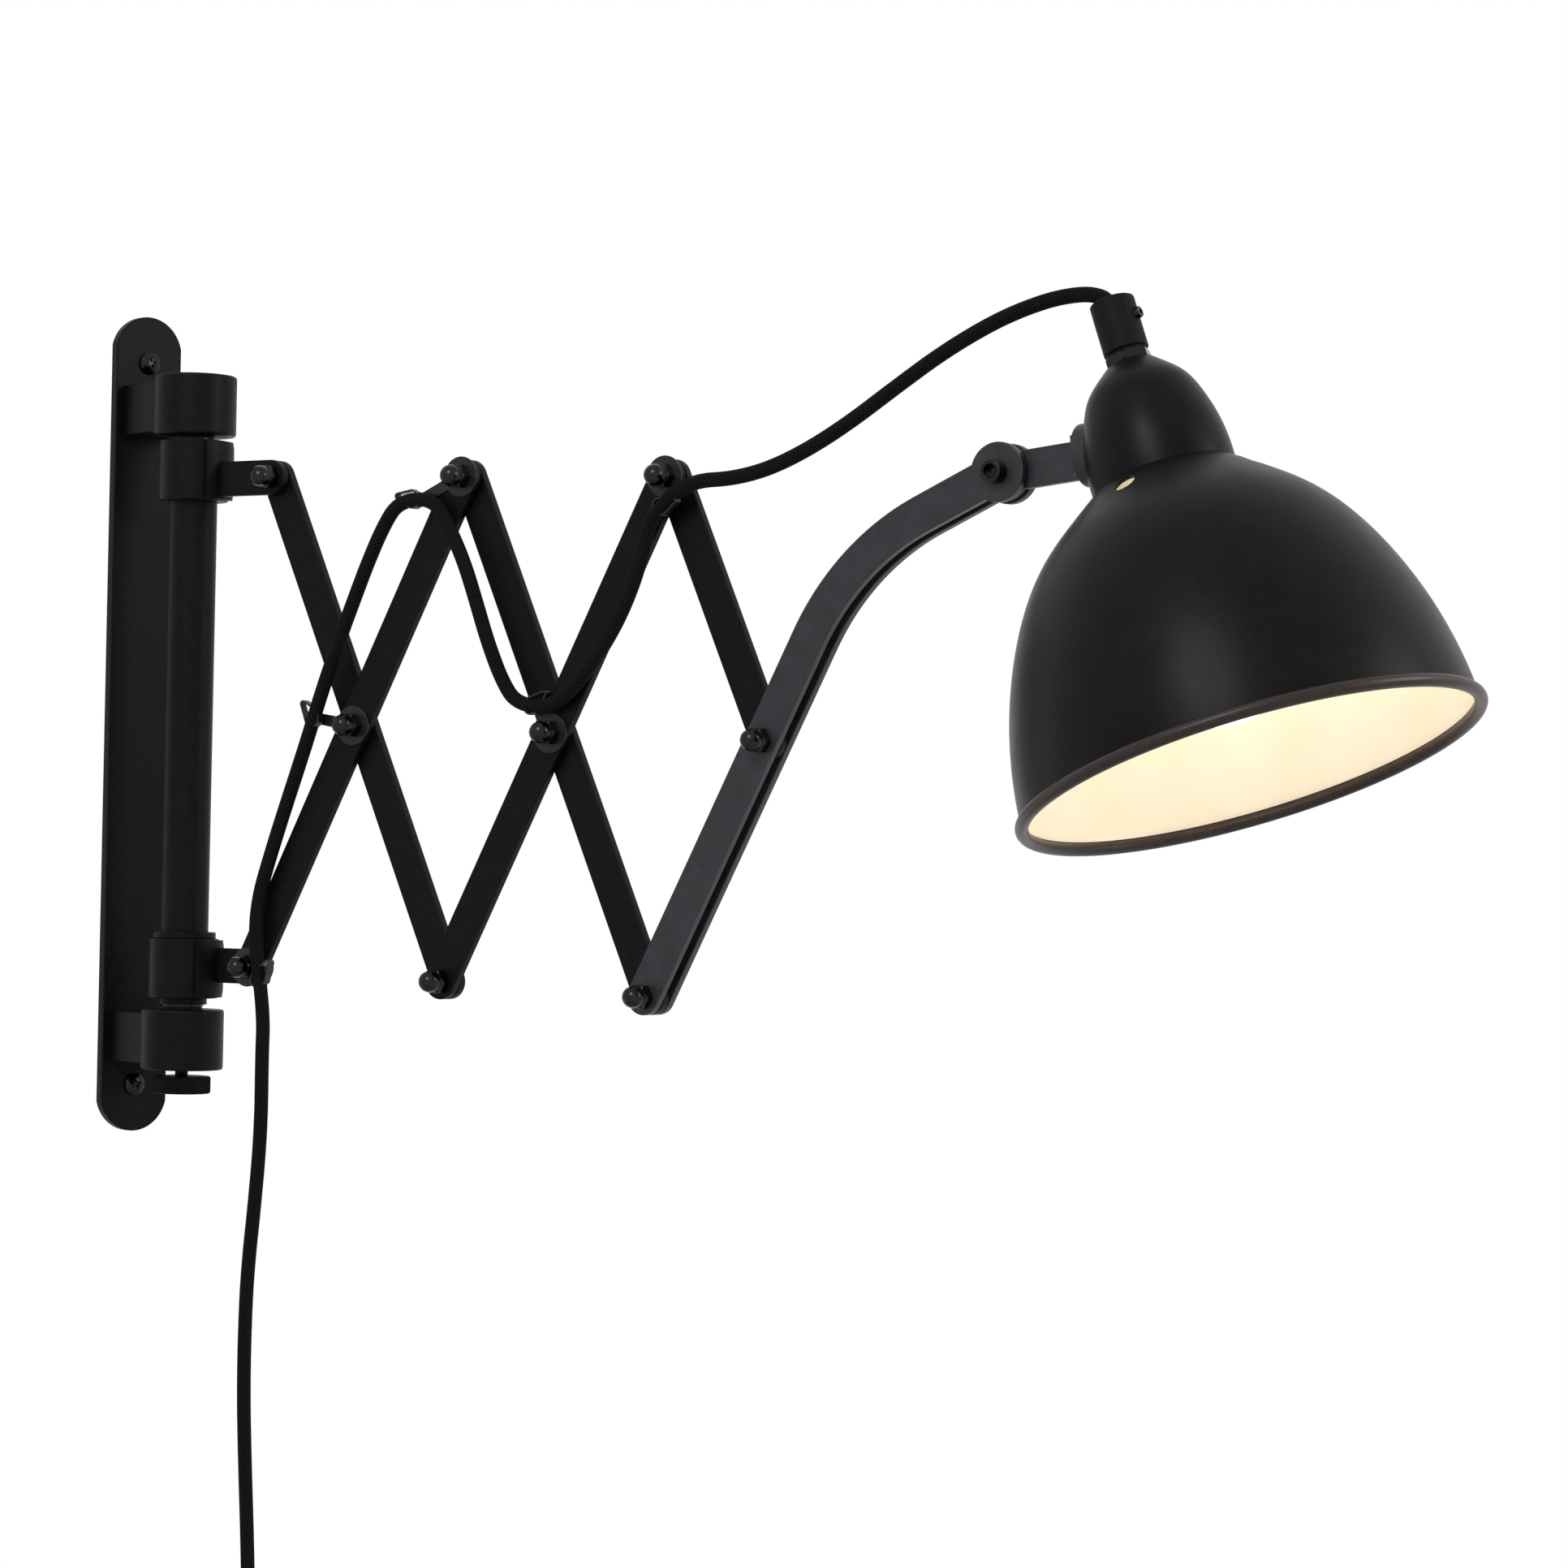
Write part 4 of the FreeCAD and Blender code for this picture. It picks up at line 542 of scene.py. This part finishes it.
def spun_line(points, steps=14):
    """A cubic of even curvature through points, spaced by chord, its ends set by a parabola."""
    p = np.array(points, float)
    h = np.linalg.norm(np.diff(p, axis=0), axis=1)
    slope = np.diff(p, axis=0) / h[:, None]
    n = len(p)
    system, right = np.eye(n), np.zeros((n, 2))
    right[0] = slope[0] + h[0] / (h[0] + h[1]) * (slope[0] - slope[1])
    right[-1] = slope[-1] + h[-1] / (h[-1] + h[-2]) * (slope[-1] - slope[-2])
    for i in range(1, n - 1):
        system[i, i - 1:i + 2] = h[i], 2 * (h[i - 1] + h[i]), h[i - 1]
        right[i] = 3 * (h[i] * slope[i - 1] + h[i - 1] * slope[i])
    m = np.linalg.solve(system, right)
    out = []
    for i in range(n - 1):
        for t in np.linspace(0, 1, steps, endpoint=False):
            out.append((1 + 2 * t) * (1 - t) ** 2 * p[i] + t * (1 - t) ** 2 * h[i] * m[i]
                       + t * t * (3 - 2 * t) * p[i + 1] + t * t * (t - 1) * h[i] * m[i + 1])
    out.append(p[-1])
    return np.array(out)


def inside_of(line, wall):
    """The line moved inwards by the wall, square to itself."""
    tangent = np.gradient(line, axis=0)
    tangent /= np.linalg.norm(tangent, axis=1)[:, None]
    return line + wall * np.stack([tangent[:, 1], -tangent[:, 0]], axis=1)


enamel, tree = material("cream_enamel")
tone = add(tree, "MapRange", {"Value": grain(tree, 30.0, 2.0), "From Min": 0.3, "From Max": 0.7})[0]
cream = add(tree, "Mix", {"Factor": tone, 6: colour("#f8f3e8"), 7: colour("#f5eddd")}, data_type="RGBA")[2]
surface = add(tree, "BsdfPrincipled", {"Base Color": cream, "Roughness": 0.32})[0]
add(tree, "OutputMaterial", {"Surface": surface})

line = np.concatenate([spun_line(NECK)[:-1], spun_line(BELL)])
inner = inside_of(line, 1.2)
rim_s, rim_r, bead_r = 174.0, 93.5, 2.7
clear_out = [p for p in line if math.hypot(p[0] - rim_s, p[1] - rim_r) > bead_r]
clear_in = [p for p in inner if math.hypot(p[0] - rim_s, p[1] - rim_r) > bead_r]
profile = [(5.03, 0.0)] + [(r, -s) for s, r in clear_out]
profile += [(rim_r + bead_r * math.cos(a), -rim_s + bead_r * math.sin(a))
            for a in np.radians(np.linspace(86, -244, 34))]
outside_rows = len(profile)
profile += [(r, -s) for s, r in clear_in[::-1] if s > 1.3] + [(5.03, -1.2), (5.03, 0.0)]
SIDES = 192
shell = turned(profile[:-1] + [profile[0]], SIDES)
lining = np.zeros(len(shell.polygons), int)
lining[(len(clear_out) + 1) * SIDES:outside_rows * SIDES] = 2
lining[outside_rows * SIDES:(len(profile) - 2) * SIDES] = 1
for finish in (shade_coat, enamel, rim_coat):
    shell.materials.append(finish)
shell.polygons.foreach_set("material_index", lining)
shell.update()


def drilled(mesh, drills):
    """The mesh with closed drill forms cut out of it, its material slots kept."""
    work = bpy.data.objects.new("work", mesh)
    tool = bpy.data.objects.new("tool", join(drills))
    for holder in (work, tool):
        bpy.context.scene.collection.objects.link(holder)
    weld = work.modifiers.new("weld", "WELD")
    weld.merge_threshold = 0.0005
    cut = work.modifiers.new("cut", "BOOLEAN")
    cut.operation = "DIFFERENCE"
    cut.solver = "EXACT"
    cut.object = tool
    bpy.context.view_layer.update()
    made = bpy.data.meshes.new_from_object(work.evaluated_get(bpy.context.evaluated_depsgraph_get()))
    bpy.data.objects.remove(work)
    bpy.data.objects.remove(tool)
    return made


drills = [moved(turned([(0, -8), (4.6, -8), (4.6, 8), (0, 8)], 48),
                turn(90 * i, "Z") @ shift(38.0, 0, -57.5) @ turn(52, "Y")) for i in range(4)]
drills.append(moved(turned([(0, -8), (2.55, -8), (2.55, 8), (0, 8)], 32),
                    shift(-27.5, 0, -28) @ turn(-75.8, "Y")))
shell = drilled(shell, drills)
shell.transform(SHADE_AT)
shell.shade_smooth()
shell.set_sharp_from_angle(angle=math.radians(32))
shade = bpy.data.objects.new("shade_skin", shell)
bpy.context.scene.collection.objects.link(shade)
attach(shade, "shade")
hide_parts("shade_shell")

# ------------------------------------------------------------------ cord grip on the shade
# A turned grip stands on a glossy hexagon nut. A set screw on its outer side holds the cord.
ring = turned([(5.03, 0.0), (8.9, 0.0), (9.8, 0.5), (9.8, 3.5), (8.9, 4.0), (5.03, 4.0), (5.03, 0.0)], 96,
              hexagon(17.0, math.radians(15)))
piece("grip_ring_nut", ring, SHADE_AT, nickel, "shade", ["ring_nut"], sharp_deg=25)
grip_coat = powder_coat("grip_plastic", "#0c0c0e", "#131316", 0.55, 6.0)
grip_half = [(5.03, 4.0), (7.9, 4.0), (7.9, 5.5), (9.3, 5.5), (9.3, 28.0), (6.4, 28.0), (3.25, 22.0),
             (3.25, 12.5), (5.03, 12.5), (5.03, 4.0)]
grip = turned(rounded(grip_half, 1.1), 96)
piece("grip_sleeve", grip, SHADE_AT, grip_coat, "shade", ["cord_grip"])
screw = turned([(0, 3.4), (2.5, 3.4), (2.5, 10.5), (2.2, 11.1), (1.1, 11.1), (1.1, 9.9), (0, 9.9)], 48)
piece("grip_set_screw", moved(screw, shift(0, 0, 19) @ turn(90, "Y")), SHADE_AT, nickel, "shade",
              ["grip_screw"])

# ------------------------------------------------------------------ bulb, lampholder and small parts
# The bulb glows warm and lights the shade's inside. Pieces whose shape stays get a finish only.
glow, tree = material("frosted_bulb_glass")
veil = add(tree, "MapRange", {"Value": grain(tree, 12.0), "To Min": 3.6, "To Max": 4.2})[0]
light = add(tree, "Emission", {"Color": colour("#fff0d8"), "Strength": veil})[0]
add(tree, "OutputMaterial", {"Surface": light})
porcelain = powder_coat("lampholder_porcelain", "#e9e4da", "#efeae0", 0.25, 9.0, 0.5)
rubber = powder_coat("plug_plastic", "#0e0e10", "#151517", 0.6, 3.0)


def metal(name, tone, low, high, size_mm):
    made, tree = material(name)
    rough = add(tree, "MapRange", {"Value": grain(tree, size_mm, 3.0), "To Min": low, "To Max": high})[0]
    surface = add(tree, "BsdfPrincipled", {"Base Color": colour(tone), "Metallic": 1.0,
                                           "Roughness": rough})[0]
    add(tree, "OutputMaterial", {"Surface": surface})
    return made


zinc = metal("zinc_plated_steel", "#a9abae", 0.25, 0.42, 0.8)
nylon = powder_coat("black_nylon", "#0e0e10", "#141416", 0.5, 2.0)
for node, finish in (("block_screws", zinc), ("pivot_bushes", nylon), ("upper_pivot_plug", nickel),
                     ("lower_pivot_plug", nickel), ("collar_grub_screw", nickel), ("rosette", arm_coat),
                     ("tab_screw_nut", nickel), ("holder_nipple", zinc), ("inner_nut", zinc),
                     ("lampholder", porcelain), ("bulb", glow), ("plug_body", rubber), ("plug_pins", zinc)):
    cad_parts[node].data.materials.clear()
    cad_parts[node].data.materials.append(finish)

# ------------------------------------------------------------------ braided cord
# A black textile cord of 6.4 mm. Its braid is a herringbone: two families of strands that pass
# over and under each other, laid along the cord's own length and around it.
braid, tree = material("textile_braid")
laid = add(tree, "UVMap")["UV"]
axes = add(tree, "SeparateXYZ", {0: laid})
families = []
for lean in (1.0, -1.0):
    skew = add(tree, "Math", {0: axes["Y"], 1: lean * 8.0}, operation="MULTIPLY")[0]
    run = add(tree, "Math", {0: axes["X"], 1: skew}, operation="ADD")[0]
    families.append((run, add(tree, "Math", {0: run, 1: 0.5}, operation="PINGPONG")[0]))
halves = []
for run, _ in families:
    slow = add(tree, "Math", {0: run, 1: 0.5}, operation="MULTIPLY")[0]
    step = add(tree, "Math", {0: slow}, operation="FRACT")[0]
    halves.append(add(tree, "Math", {0: step, 1: 0.5}, operation="GREATER_THAN")[0])
differ = add(tree, "Math", {0: halves[0], 1: halves[1]}, operation="SUBTRACT")[0]
over = add(tree, "Math", {0: differ}, operation="ABSOLUTE")[0]
strand = add(tree, "Mix", {0: over, 2: families[0][1], 3: families[1][1]})[0]
fuzz = grain(tree, 0.25, 2.0)
height = add(tree, "Math", {0: strand, 1: add(tree, "Math", {0: fuzz, 1: 0.3}, operation="MULTIPLY")[0]},
             operation="ADD")[0]
bump = add(tree, "Bump", {"Height": height, "Strength": 0.9, "Distance": 0.45 * MM})[0]
# The strand crowns are painted lighter than the hollows between them: a painted sheen on the cord.
painted_sheen_mask = add(tree, "MapRange", {"Value": strand, "From Min": 0.0, "From Max": 0.5})[0]
thread_with_painted_sheen = add(tree, "Mix", {"Factor": painted_sheen_mask, 6: colour("#050506"), 7: colour("#17171a")}, data_type="RGBA")[2]
surface = add(tree, "BsdfPrincipled", {"Base Color": thread_with_painted_sheen, "Roughness": 0.85, "Normal": bump,
                                       "Specular IOR Level": 0.08})[0]
add(tree, "OutputMaterial", {"Surface": surface})

CLIPS = {"bottom": (54.6, -117.3, 102.0), "first_middle": (79.6, 2.5, 72.0), "first_top": (131.5, 101.7, 5.7),
         "second_middle": (201.5, 11.5, -4.1), "second_top": (265.2, 98.9, 46.0)}


def held(name, distance=0.0):
    """A point on the cord's line through a clip."""
    u, z, angle = CLIPS[name]
    a = math.radians(angle)
    return u + distance * math.cos(a), CORD_V, z + distance * math.sin(a)


def flat_route(*places):
    return [(u, CORD_V, z) for u, z in places]


def route_line(points, fine=10):
    """A quadratic spline on a route's points, clamped, in the row's frame, without doubled points."""
    curve = bpy.data.curves.new("route", "CURVE")
    curve.dimensions = "3D"
    spline = curve.splines.new("NURBS")
    spline.points.add(len(points) - 1)
    spline.points.foreach_set("co", np.array([(*(ARM @ Vector(p)), 1.0) for p in points], float).ravel())
    spline.order_u = 3
    spline.use_endpoint_u = True
    curve.resolution_u = fine
    holder = bpy.data.objects.new("route", curve)
    bpy.context.scene.collection.objects.link(holder)
    bpy.context.view_layer.update()
    mesh = bpy.data.meshes.new_from_object(holder.evaluated_get(bpy.context.evaluated_depsgraph_get()))
    line = np.array([v.co for v in mesh.vertices], float)
    bpy.data.objects.remove(holder)
    apart = np.linalg.norm(np.diff(line, axis=0), axis=1) > 1e-6
    return line[np.concatenate([[True], apart])]


def tube_on(name, line, start=0.0, sides=24):
    """A tube along a line, its section carried on without twist, with its length laid into the UV."""
    steps = np.linalg.norm(np.diff(line, axis=0), axis=1)
    along = start + np.concatenate([[0], np.cumsum(steps)])
    tangent = np.gradient(line, axis=0)
    tangent /= np.linalg.norm(tangent, axis=1)[:, None]
    side = np.cross(tangent[0], (0.3, 0.9, 0.1))
    angle = 2 * np.pi * np.arange(sides) / sides
    verts = []
    for at, t in zip(line, tangent):
        side = side - t * np.dot(side, t)
        side /= np.linalg.norm(side)
        other = np.cross(t, side)
        verts.append(at + CORD_R * MM * (np.outer(np.cos(angle), side) + np.outer(np.sin(angle), other)))
    verts = np.concatenate(verts)
    faces, laid = [], []
    for k in range(len(line) - 1):
        for i in range(sides):
            j = (i + 1) % sides
            faces.append((k * sides + i, k * sides + j, (k + 1) * sides + j, (k + 1) * sides + i))
            low, high = along[k] / (2.4 * MM), along[k + 1] / (2.4 * MM)
            laid += [(low, i / sides), (low, (i + 1) / sides), (high, (i + 1) / sides), (high, i / sides)]
    last = (len(line) - 1) * sides
    faces += [tuple(range(sides))[::-1], tuple(range(last, last + sides))]
    laid += [(0.0, 0.0)] * (2 * sides)
    mesh = bpy.data.meshes.new(name)
    mesh.from_pydata([tuple(v) for v in verts], [], faces)
    layer = mesh.uv_layers.new(name="UVMap")
    layer.data.foreach_set("uv", np.array(laid, float).ravel())
    mesh.materials.append(braid)
    mesh.shade_smooth()
    made = bpy.data.objects.new(name, mesh)
    bpy.context.scene.collection.objects.link(made)
    return made


FIRST = [held("bottom"), held("bottom", 17)] + flat_route((51.6, -81.0), (58.2, -59.5), (65.9, -37.0)) + [
    held("first_middle", -12), held("first_middle", 13)] + flat_route(
    (92.8, 39.5), (101.2, 60.0), (106.6, 73.0), (114.5, 89.5)) + [held("first_top", -9), held("first_top")]
SECOND = [held("first_top"), held("first_top", 10)] + flat_route(
    (151.0, 90.5), (160.5, 74.5), (167.9, 57.5), (175.3, 39.5), (184.0, 22.5)) + [
    held("second_middle", -9), held("second_middle")]
THIRD = [held("second_middle"), held("second_middle", 9)] + flat_route(
    (221.5, 18.5), (233.0, 31.5), (243.4, 46.5), (251.4, 63.0), (256.6, 79.5)) + [
    held("second_top", -9), held("second_top")]


def off_grip(along, lateral):
    """A point by the grip's mouth, along its axis and sideways towards the wall, in the arm's frame."""
    return tuple(ARM.inverted() @ SHADE_AT @ Vector((-lateral, 0, 28.0 + along)))


ARC = [held("second_top"), held("second_top", 9), (284.0, -8.0, 110.2), (300.5, -8.4, 110.8),
       (319.0, -8.8, 114.6), (338.5, -9.0, 122.6), (359.0, -9.0, 134.0), (381.0, -9.0, 148.6),
       (403.5, -8.6, 163.2), (427.0, -7.6, 175.6), (446.0, -6.2, 182.6), off_grip(10.6, 17.6),
       off_grip(6.4, 6.4), off_grip(0.0, 0.0), off_grip(-9.0, 0.0)]


def bending(name, route, joins, nodes):
    """A cord over one or more joints, cut into equal shares, one for each listed pair of bodies; each share
    is a tube left fixed in place.
    """
    line = route_line(route)
    cuts = np.linspace(0, len(line) - 1, len(joins) + 1).astype(int)
    start = 0.0
    for k, (a, b) in enumerate(joins):
        share = line[cuts[k]:cuts[k + 1] + 1]
        made = tube_on(f"{name}_{k + 1}", share, start)
        start += np.linalg.norm(np.diff(share, axis=0), axis=1).sum()
        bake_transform(made)
        if k == 0:
            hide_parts(*nodes)


bending("braid_first", FIRST, [("lower_slide", "bar_b1")], ["cord_first"])
bending("braid_second", SECOND, [("bar_b1", "bar_a2"), ("bar_a2", "bar_b2")], ["cord_second"])
third = tube_on("braid_third", route_line(THIRD))
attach(third, "bar_b2")
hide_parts("cord_third")
bending("braid_arc", ARC, [("bar_b2", "bar_a3"), ("bar_a3", "curved_arm"), ("curved_arm", "head_bracket"),
                           ("head_bracket", "shade")], ["cord_arc"])

# ------------------------------------------------------------------ cord clips
# Black sheet steel: an eye under each clipped nut, a short strap, and a thin strip loop at the cord.
# The loops lie in the arm's plane; they don't stand round the cord.
clip_steel = powder_coat("clip_steel", "#0c0c0e", "#141417", 0.36, 4.0, 0.3)


def strip_loop(reach, end, width=3.6, thick=0.8):
    """A closed strip, round at one end and pointed at the other: its line is in x and z, wide along y."""
    back = -CORD_V + FRONT_FACE - 1.0
    line = arc((0.0, 0.0), reach, 90, 270, 20) + [(0.6 * end, -reach)]
    line = np.array(line + arc((end, -reach + 1.2), 1.2, 270, 400, 8) + [(0.3 * end, reach)], float)
    line[:, 1] = np.clip(line[:, 1], -3.9, back)
    tangent = np.gradient(line, axis=0)
    tangent /= np.linalg.norm(tangent, axis=1)[:, None] + 1e-9
    normal = np.stack([-tangent[:, 1], tangent[:, 0]], axis=1)
    verts, faces, n = [], [], len(line)
    for p, q in zip(line - normal * thick / 2, line + normal * thick / 2):
        verts += [(p[0], -width / 2, p[1]), (p[0], width / 2, p[1])]
        verts += [(q[0], width / 2, q[1]), (q[0], -width / 2, q[1])]
    for k in range(n):
        m = (k + 1) % n
        faces += [[4 * k + i, 4 * k + (i + 1) % 4, 4 * m + (i + 1) % 4, 4 * m + i] for i in range(4)]
    mesh = bpy.data.meshes.new("strip_loop")
    mesh.from_pydata(verts, [], faces)
    return mesh


def cord_clip(name, pivot, eye_face, slant, end):
    """The eye and strap lie flat under the nut; the loop lies in the same plane, turned by its slant."""
    u, z, _ = CLIPS[name]
    length = math.hypot(u - pivot[0], z - pivot[1])
    along = math.atan2(z - pivot[1], u - pivot[0])
    strap = [(9.0 * math.cos(a), 9.0 * math.sin(a)) for a in np.linspace(0.3, 2 * math.pi - 0.3, 48)]
    strap += [(length + 1.0, -2.5), (length + 1.0, 2.5)]
    flat = flat_piece([strap, ring_loop((0, 0), 3.1)], 0.8, 0.15, upright=False)
    in_plane = Matrix(((1, 0, 0, 0), (0, 0, -1, 0), (0, 1, 0, 0), (0, 0, 0, 1)))
    at = shift(pivot[0], eye_face - 0.4, pivot[1]) @ in_plane @ turn(math.degrees(along), "Z")
    loop = moved(strip_loop(3.75, end), shift(u, CORD_V, z) @ turn(-slant, "Y") @ turn(180, "X"))
    return [moved(flat, at), loop]


for name, node, body, clips in (
        ("bottom_clip", "cord_clip_bottom", "lower_slide", [("bottom", bottom(0), FRONT_FACE - 0.3, 40, 9)]),
        ("bar_b1_clips", "bar_b1_cord_clips", "bar_b1", [("first_middle", middle(1), FRONT_FACE, 112, 8),
                                                         ("first_top", top(1), FRONT_FACE, 152, 8)]),
        ("bar_b2_clips", "bar_b2_cord_clips", "bar_b2", [("second_middle", middle(2), FRONT_FACE, 20.5, 8),
                                                         ("second_top", top(2), FRONT_FACE, 0, 7)])):
    parts = [part for clip in clips for part in cord_clip(*clip)]
    piece(name, join(parts), ARM, clip_steel, body, [node])

# ------------------------------------------------------------------ free lead
# The cord drops from the lowest clip, is wound into a coil held by a tie, turns back over it, and
# ends in the plug.
COIL = (29.2, CORD_V, -446.0)
DROP = [held("bottom"), held("bottom", -16)] + flat_route(
    (58.0, -152.0), (59.3, -185.0), (57.6, -218.0), (55.0, -250.0), (54.9, -280.0), (56.0, -309.0),
    (58.4, -338.0), (61.4, -369.0), (63.8, -399.0), (63.6, -420.0))


def on_coil(degrees, radius, across):
    a = math.radians(degrees)
    return COIL[0] + radius * math.cos(a), COIL[1] + across, COIL[2] + radius * math.sin(a)


TURNS = 4
LANE = 6.8
wound = [on_coil(-15 * k, 34.4, -6.8 + LANE * k / 24) for k in range(1, 24 * TURNS + 19)]
last_across = wound[-1][1] - COIL[1]
back = [on_coil(78, 35, last_across + 1.5), on_coil(65, 37.5, last_across + 5),
        on_coil(56, 41, last_across + 11), on_coil(58, 42, last_across + 17),
        on_coil(72, 42, last_across + 19)]
back += [on_coil(a, 42, (last_across + 19) * (1 - t) ** 1.2)
         for a, t in zip(np.arange(90, 196, 13), np.linspace(0.08, 1, 9))]
lead_route = DROP + wound + back + [(-8.6, CORD_V, -462.0), (-6.4, CORD_V, -470.0), (-6.4, CORD_V, -476.0)]
lead_line = route_line(lead_route, 6)
lead = tube_on("braid_lead", lead_line, 0.0, 16)
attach(lead, "lower_slide")
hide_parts("cord_drop", "cord_coil", "cord_tail")
half_w = (LANE * (TURNS + 0.75)) / 2 + 4.4
tie_line = [(half_w - 2 + 2.0 * math.cos(a), 2.4 + 2.0 * math.sin(a)) for a in np.linspace(0, math.pi / 2, 6)]
tie_line += [(-x, y) for x, y in tie_line[::-1]]
tie_line += [(x, -y) for x, y in tie_line[::-1]]
outer_line = [(x * (1 + 0.8 / half_w), y * 1.18) for x, y in tie_line]
band = flat_piece([outer_line, tie_line], 4.0, 0.1, upright=False)
mid_across = -6.8 + LANE * (TURNS + 0.75) / 2
tie = piece("lead_tie", moved(band, shift(COIL[0], COIL[1] + mid_across, COIL[2] - 34.4) @ Matrix(
    ((0, 0, 1, 0), (1, 0, 0, 0), (0, 1, 0, 0), (0, 0, 0, 1)))), ARM, rubber, "lower_slide")

# ------------------------------------------------------------------ stage, light and camera
# A white room with a pale floor, one soft key from the upper left, and the photograph's camera.
world = bpy.data.worlds.new("room")
bpy.context.scene.world = world
world.use_nodes = True
tree = world.node_tree
tree.nodes.clear()
rays = add(tree, "LightPath")
seen = add(tree, "Math", {0: rays["Is Camera Ray"], 1: rays["Is Transmission Ray"]}, operation="MAXIMUM")[0]
seen = add(tree, "Math", {0: seen, 1: rays["Is Glossy Ray"]}, operation="MAXIMUM")[0]
white = add(tree, "Background", {"Color": (1, 1, 1, 1), "Strength": 1.0})[0]
fill = add(tree, "Background", {"Color": (1, 1, 1, 1), "Strength": 0.5})[0]
add(tree, "OutputWorld", {"Surface": add(tree, "MixShader", {0: seen, 1: fill, 2: white})[0]})

pale, tree = material("pale_floor")
mottle = add(tree, "MapRange", {"Value": grain(tree, 60.0, 2.0), "From Min": 0.3, "From Max": 0.7})[0]
paint = add(tree, "Mix", {"Factor": mottle, 6: colour("#ecebe8"), 7: colour("#f2f1ee")}, data_type="RGBA")[2]
surface = add(tree, "BsdfPrincipled", {"Base Color": paint, "Roughness": 0.7})[0]
add(tree, "OutputMaterial", {"Surface": surface})
floor_mesh = turned([(0, 0), (0.62, 0)], 96)
floor_mesh.materials.append(pale)
floor = bpy.data.objects.new("floor", floor_mesh)
floor.location = (0.25, 0.05, -0.62)
bpy.context.scene.collection.objects.link(floor)


def soft_light(name, place, aim, size, watts, tone="#ffffff"):
    lamp = bpy.data.lights.new(name, "AREA")
    lamp.size = size
    lamp.energy = watts
    lamp.color = colour(tone)[:3]
    made = bpy.data.objects.new(name, lamp)
    made.location = place
    made.rotation_euler = (Vector(aim) - Vector(place)).to_track_quat("-Z", "Y").to_euler()
    bpy.context.scene.collection.objects.link(made)


soft_light("key", (1.2, -1.6, 1.3), (0.25, 0.05, 0.0), 0.9, 22)
soft_light("side", (1.5, 0.9, 0.5), (0.2, 0.05, 0.0), 0.6, 8, "#fff1e2")

camera = bpy.data.cameras.new("photo")
camera.lens = 100.67
camera.sensor_width = 36.0
camera.clip_end = 20.0
view = bpy.data.objects.new("photo", camera)
right, down, forward = (0.8412, 0.5390, 0.0434), (0.0363, 0.0238, -0.9991), (-0.5395, 0.8420, 0.0004)
columns = Matrix((right, [-d for d in down], [-f for f in forward])).transposed().to_4x4()
view.matrix_world = (Matrix.Translation(ARM @ Vector((1331.54, -1564.73, -18.82)))
                     @ ARM.to_quaternion().to_matrix().to_4x4() @ columns)
bpy.context.scene.collection.objects.link(view)
bpy.context.scene.camera = view
bpy.context.scene.view_settings.view_transform = "Standard"
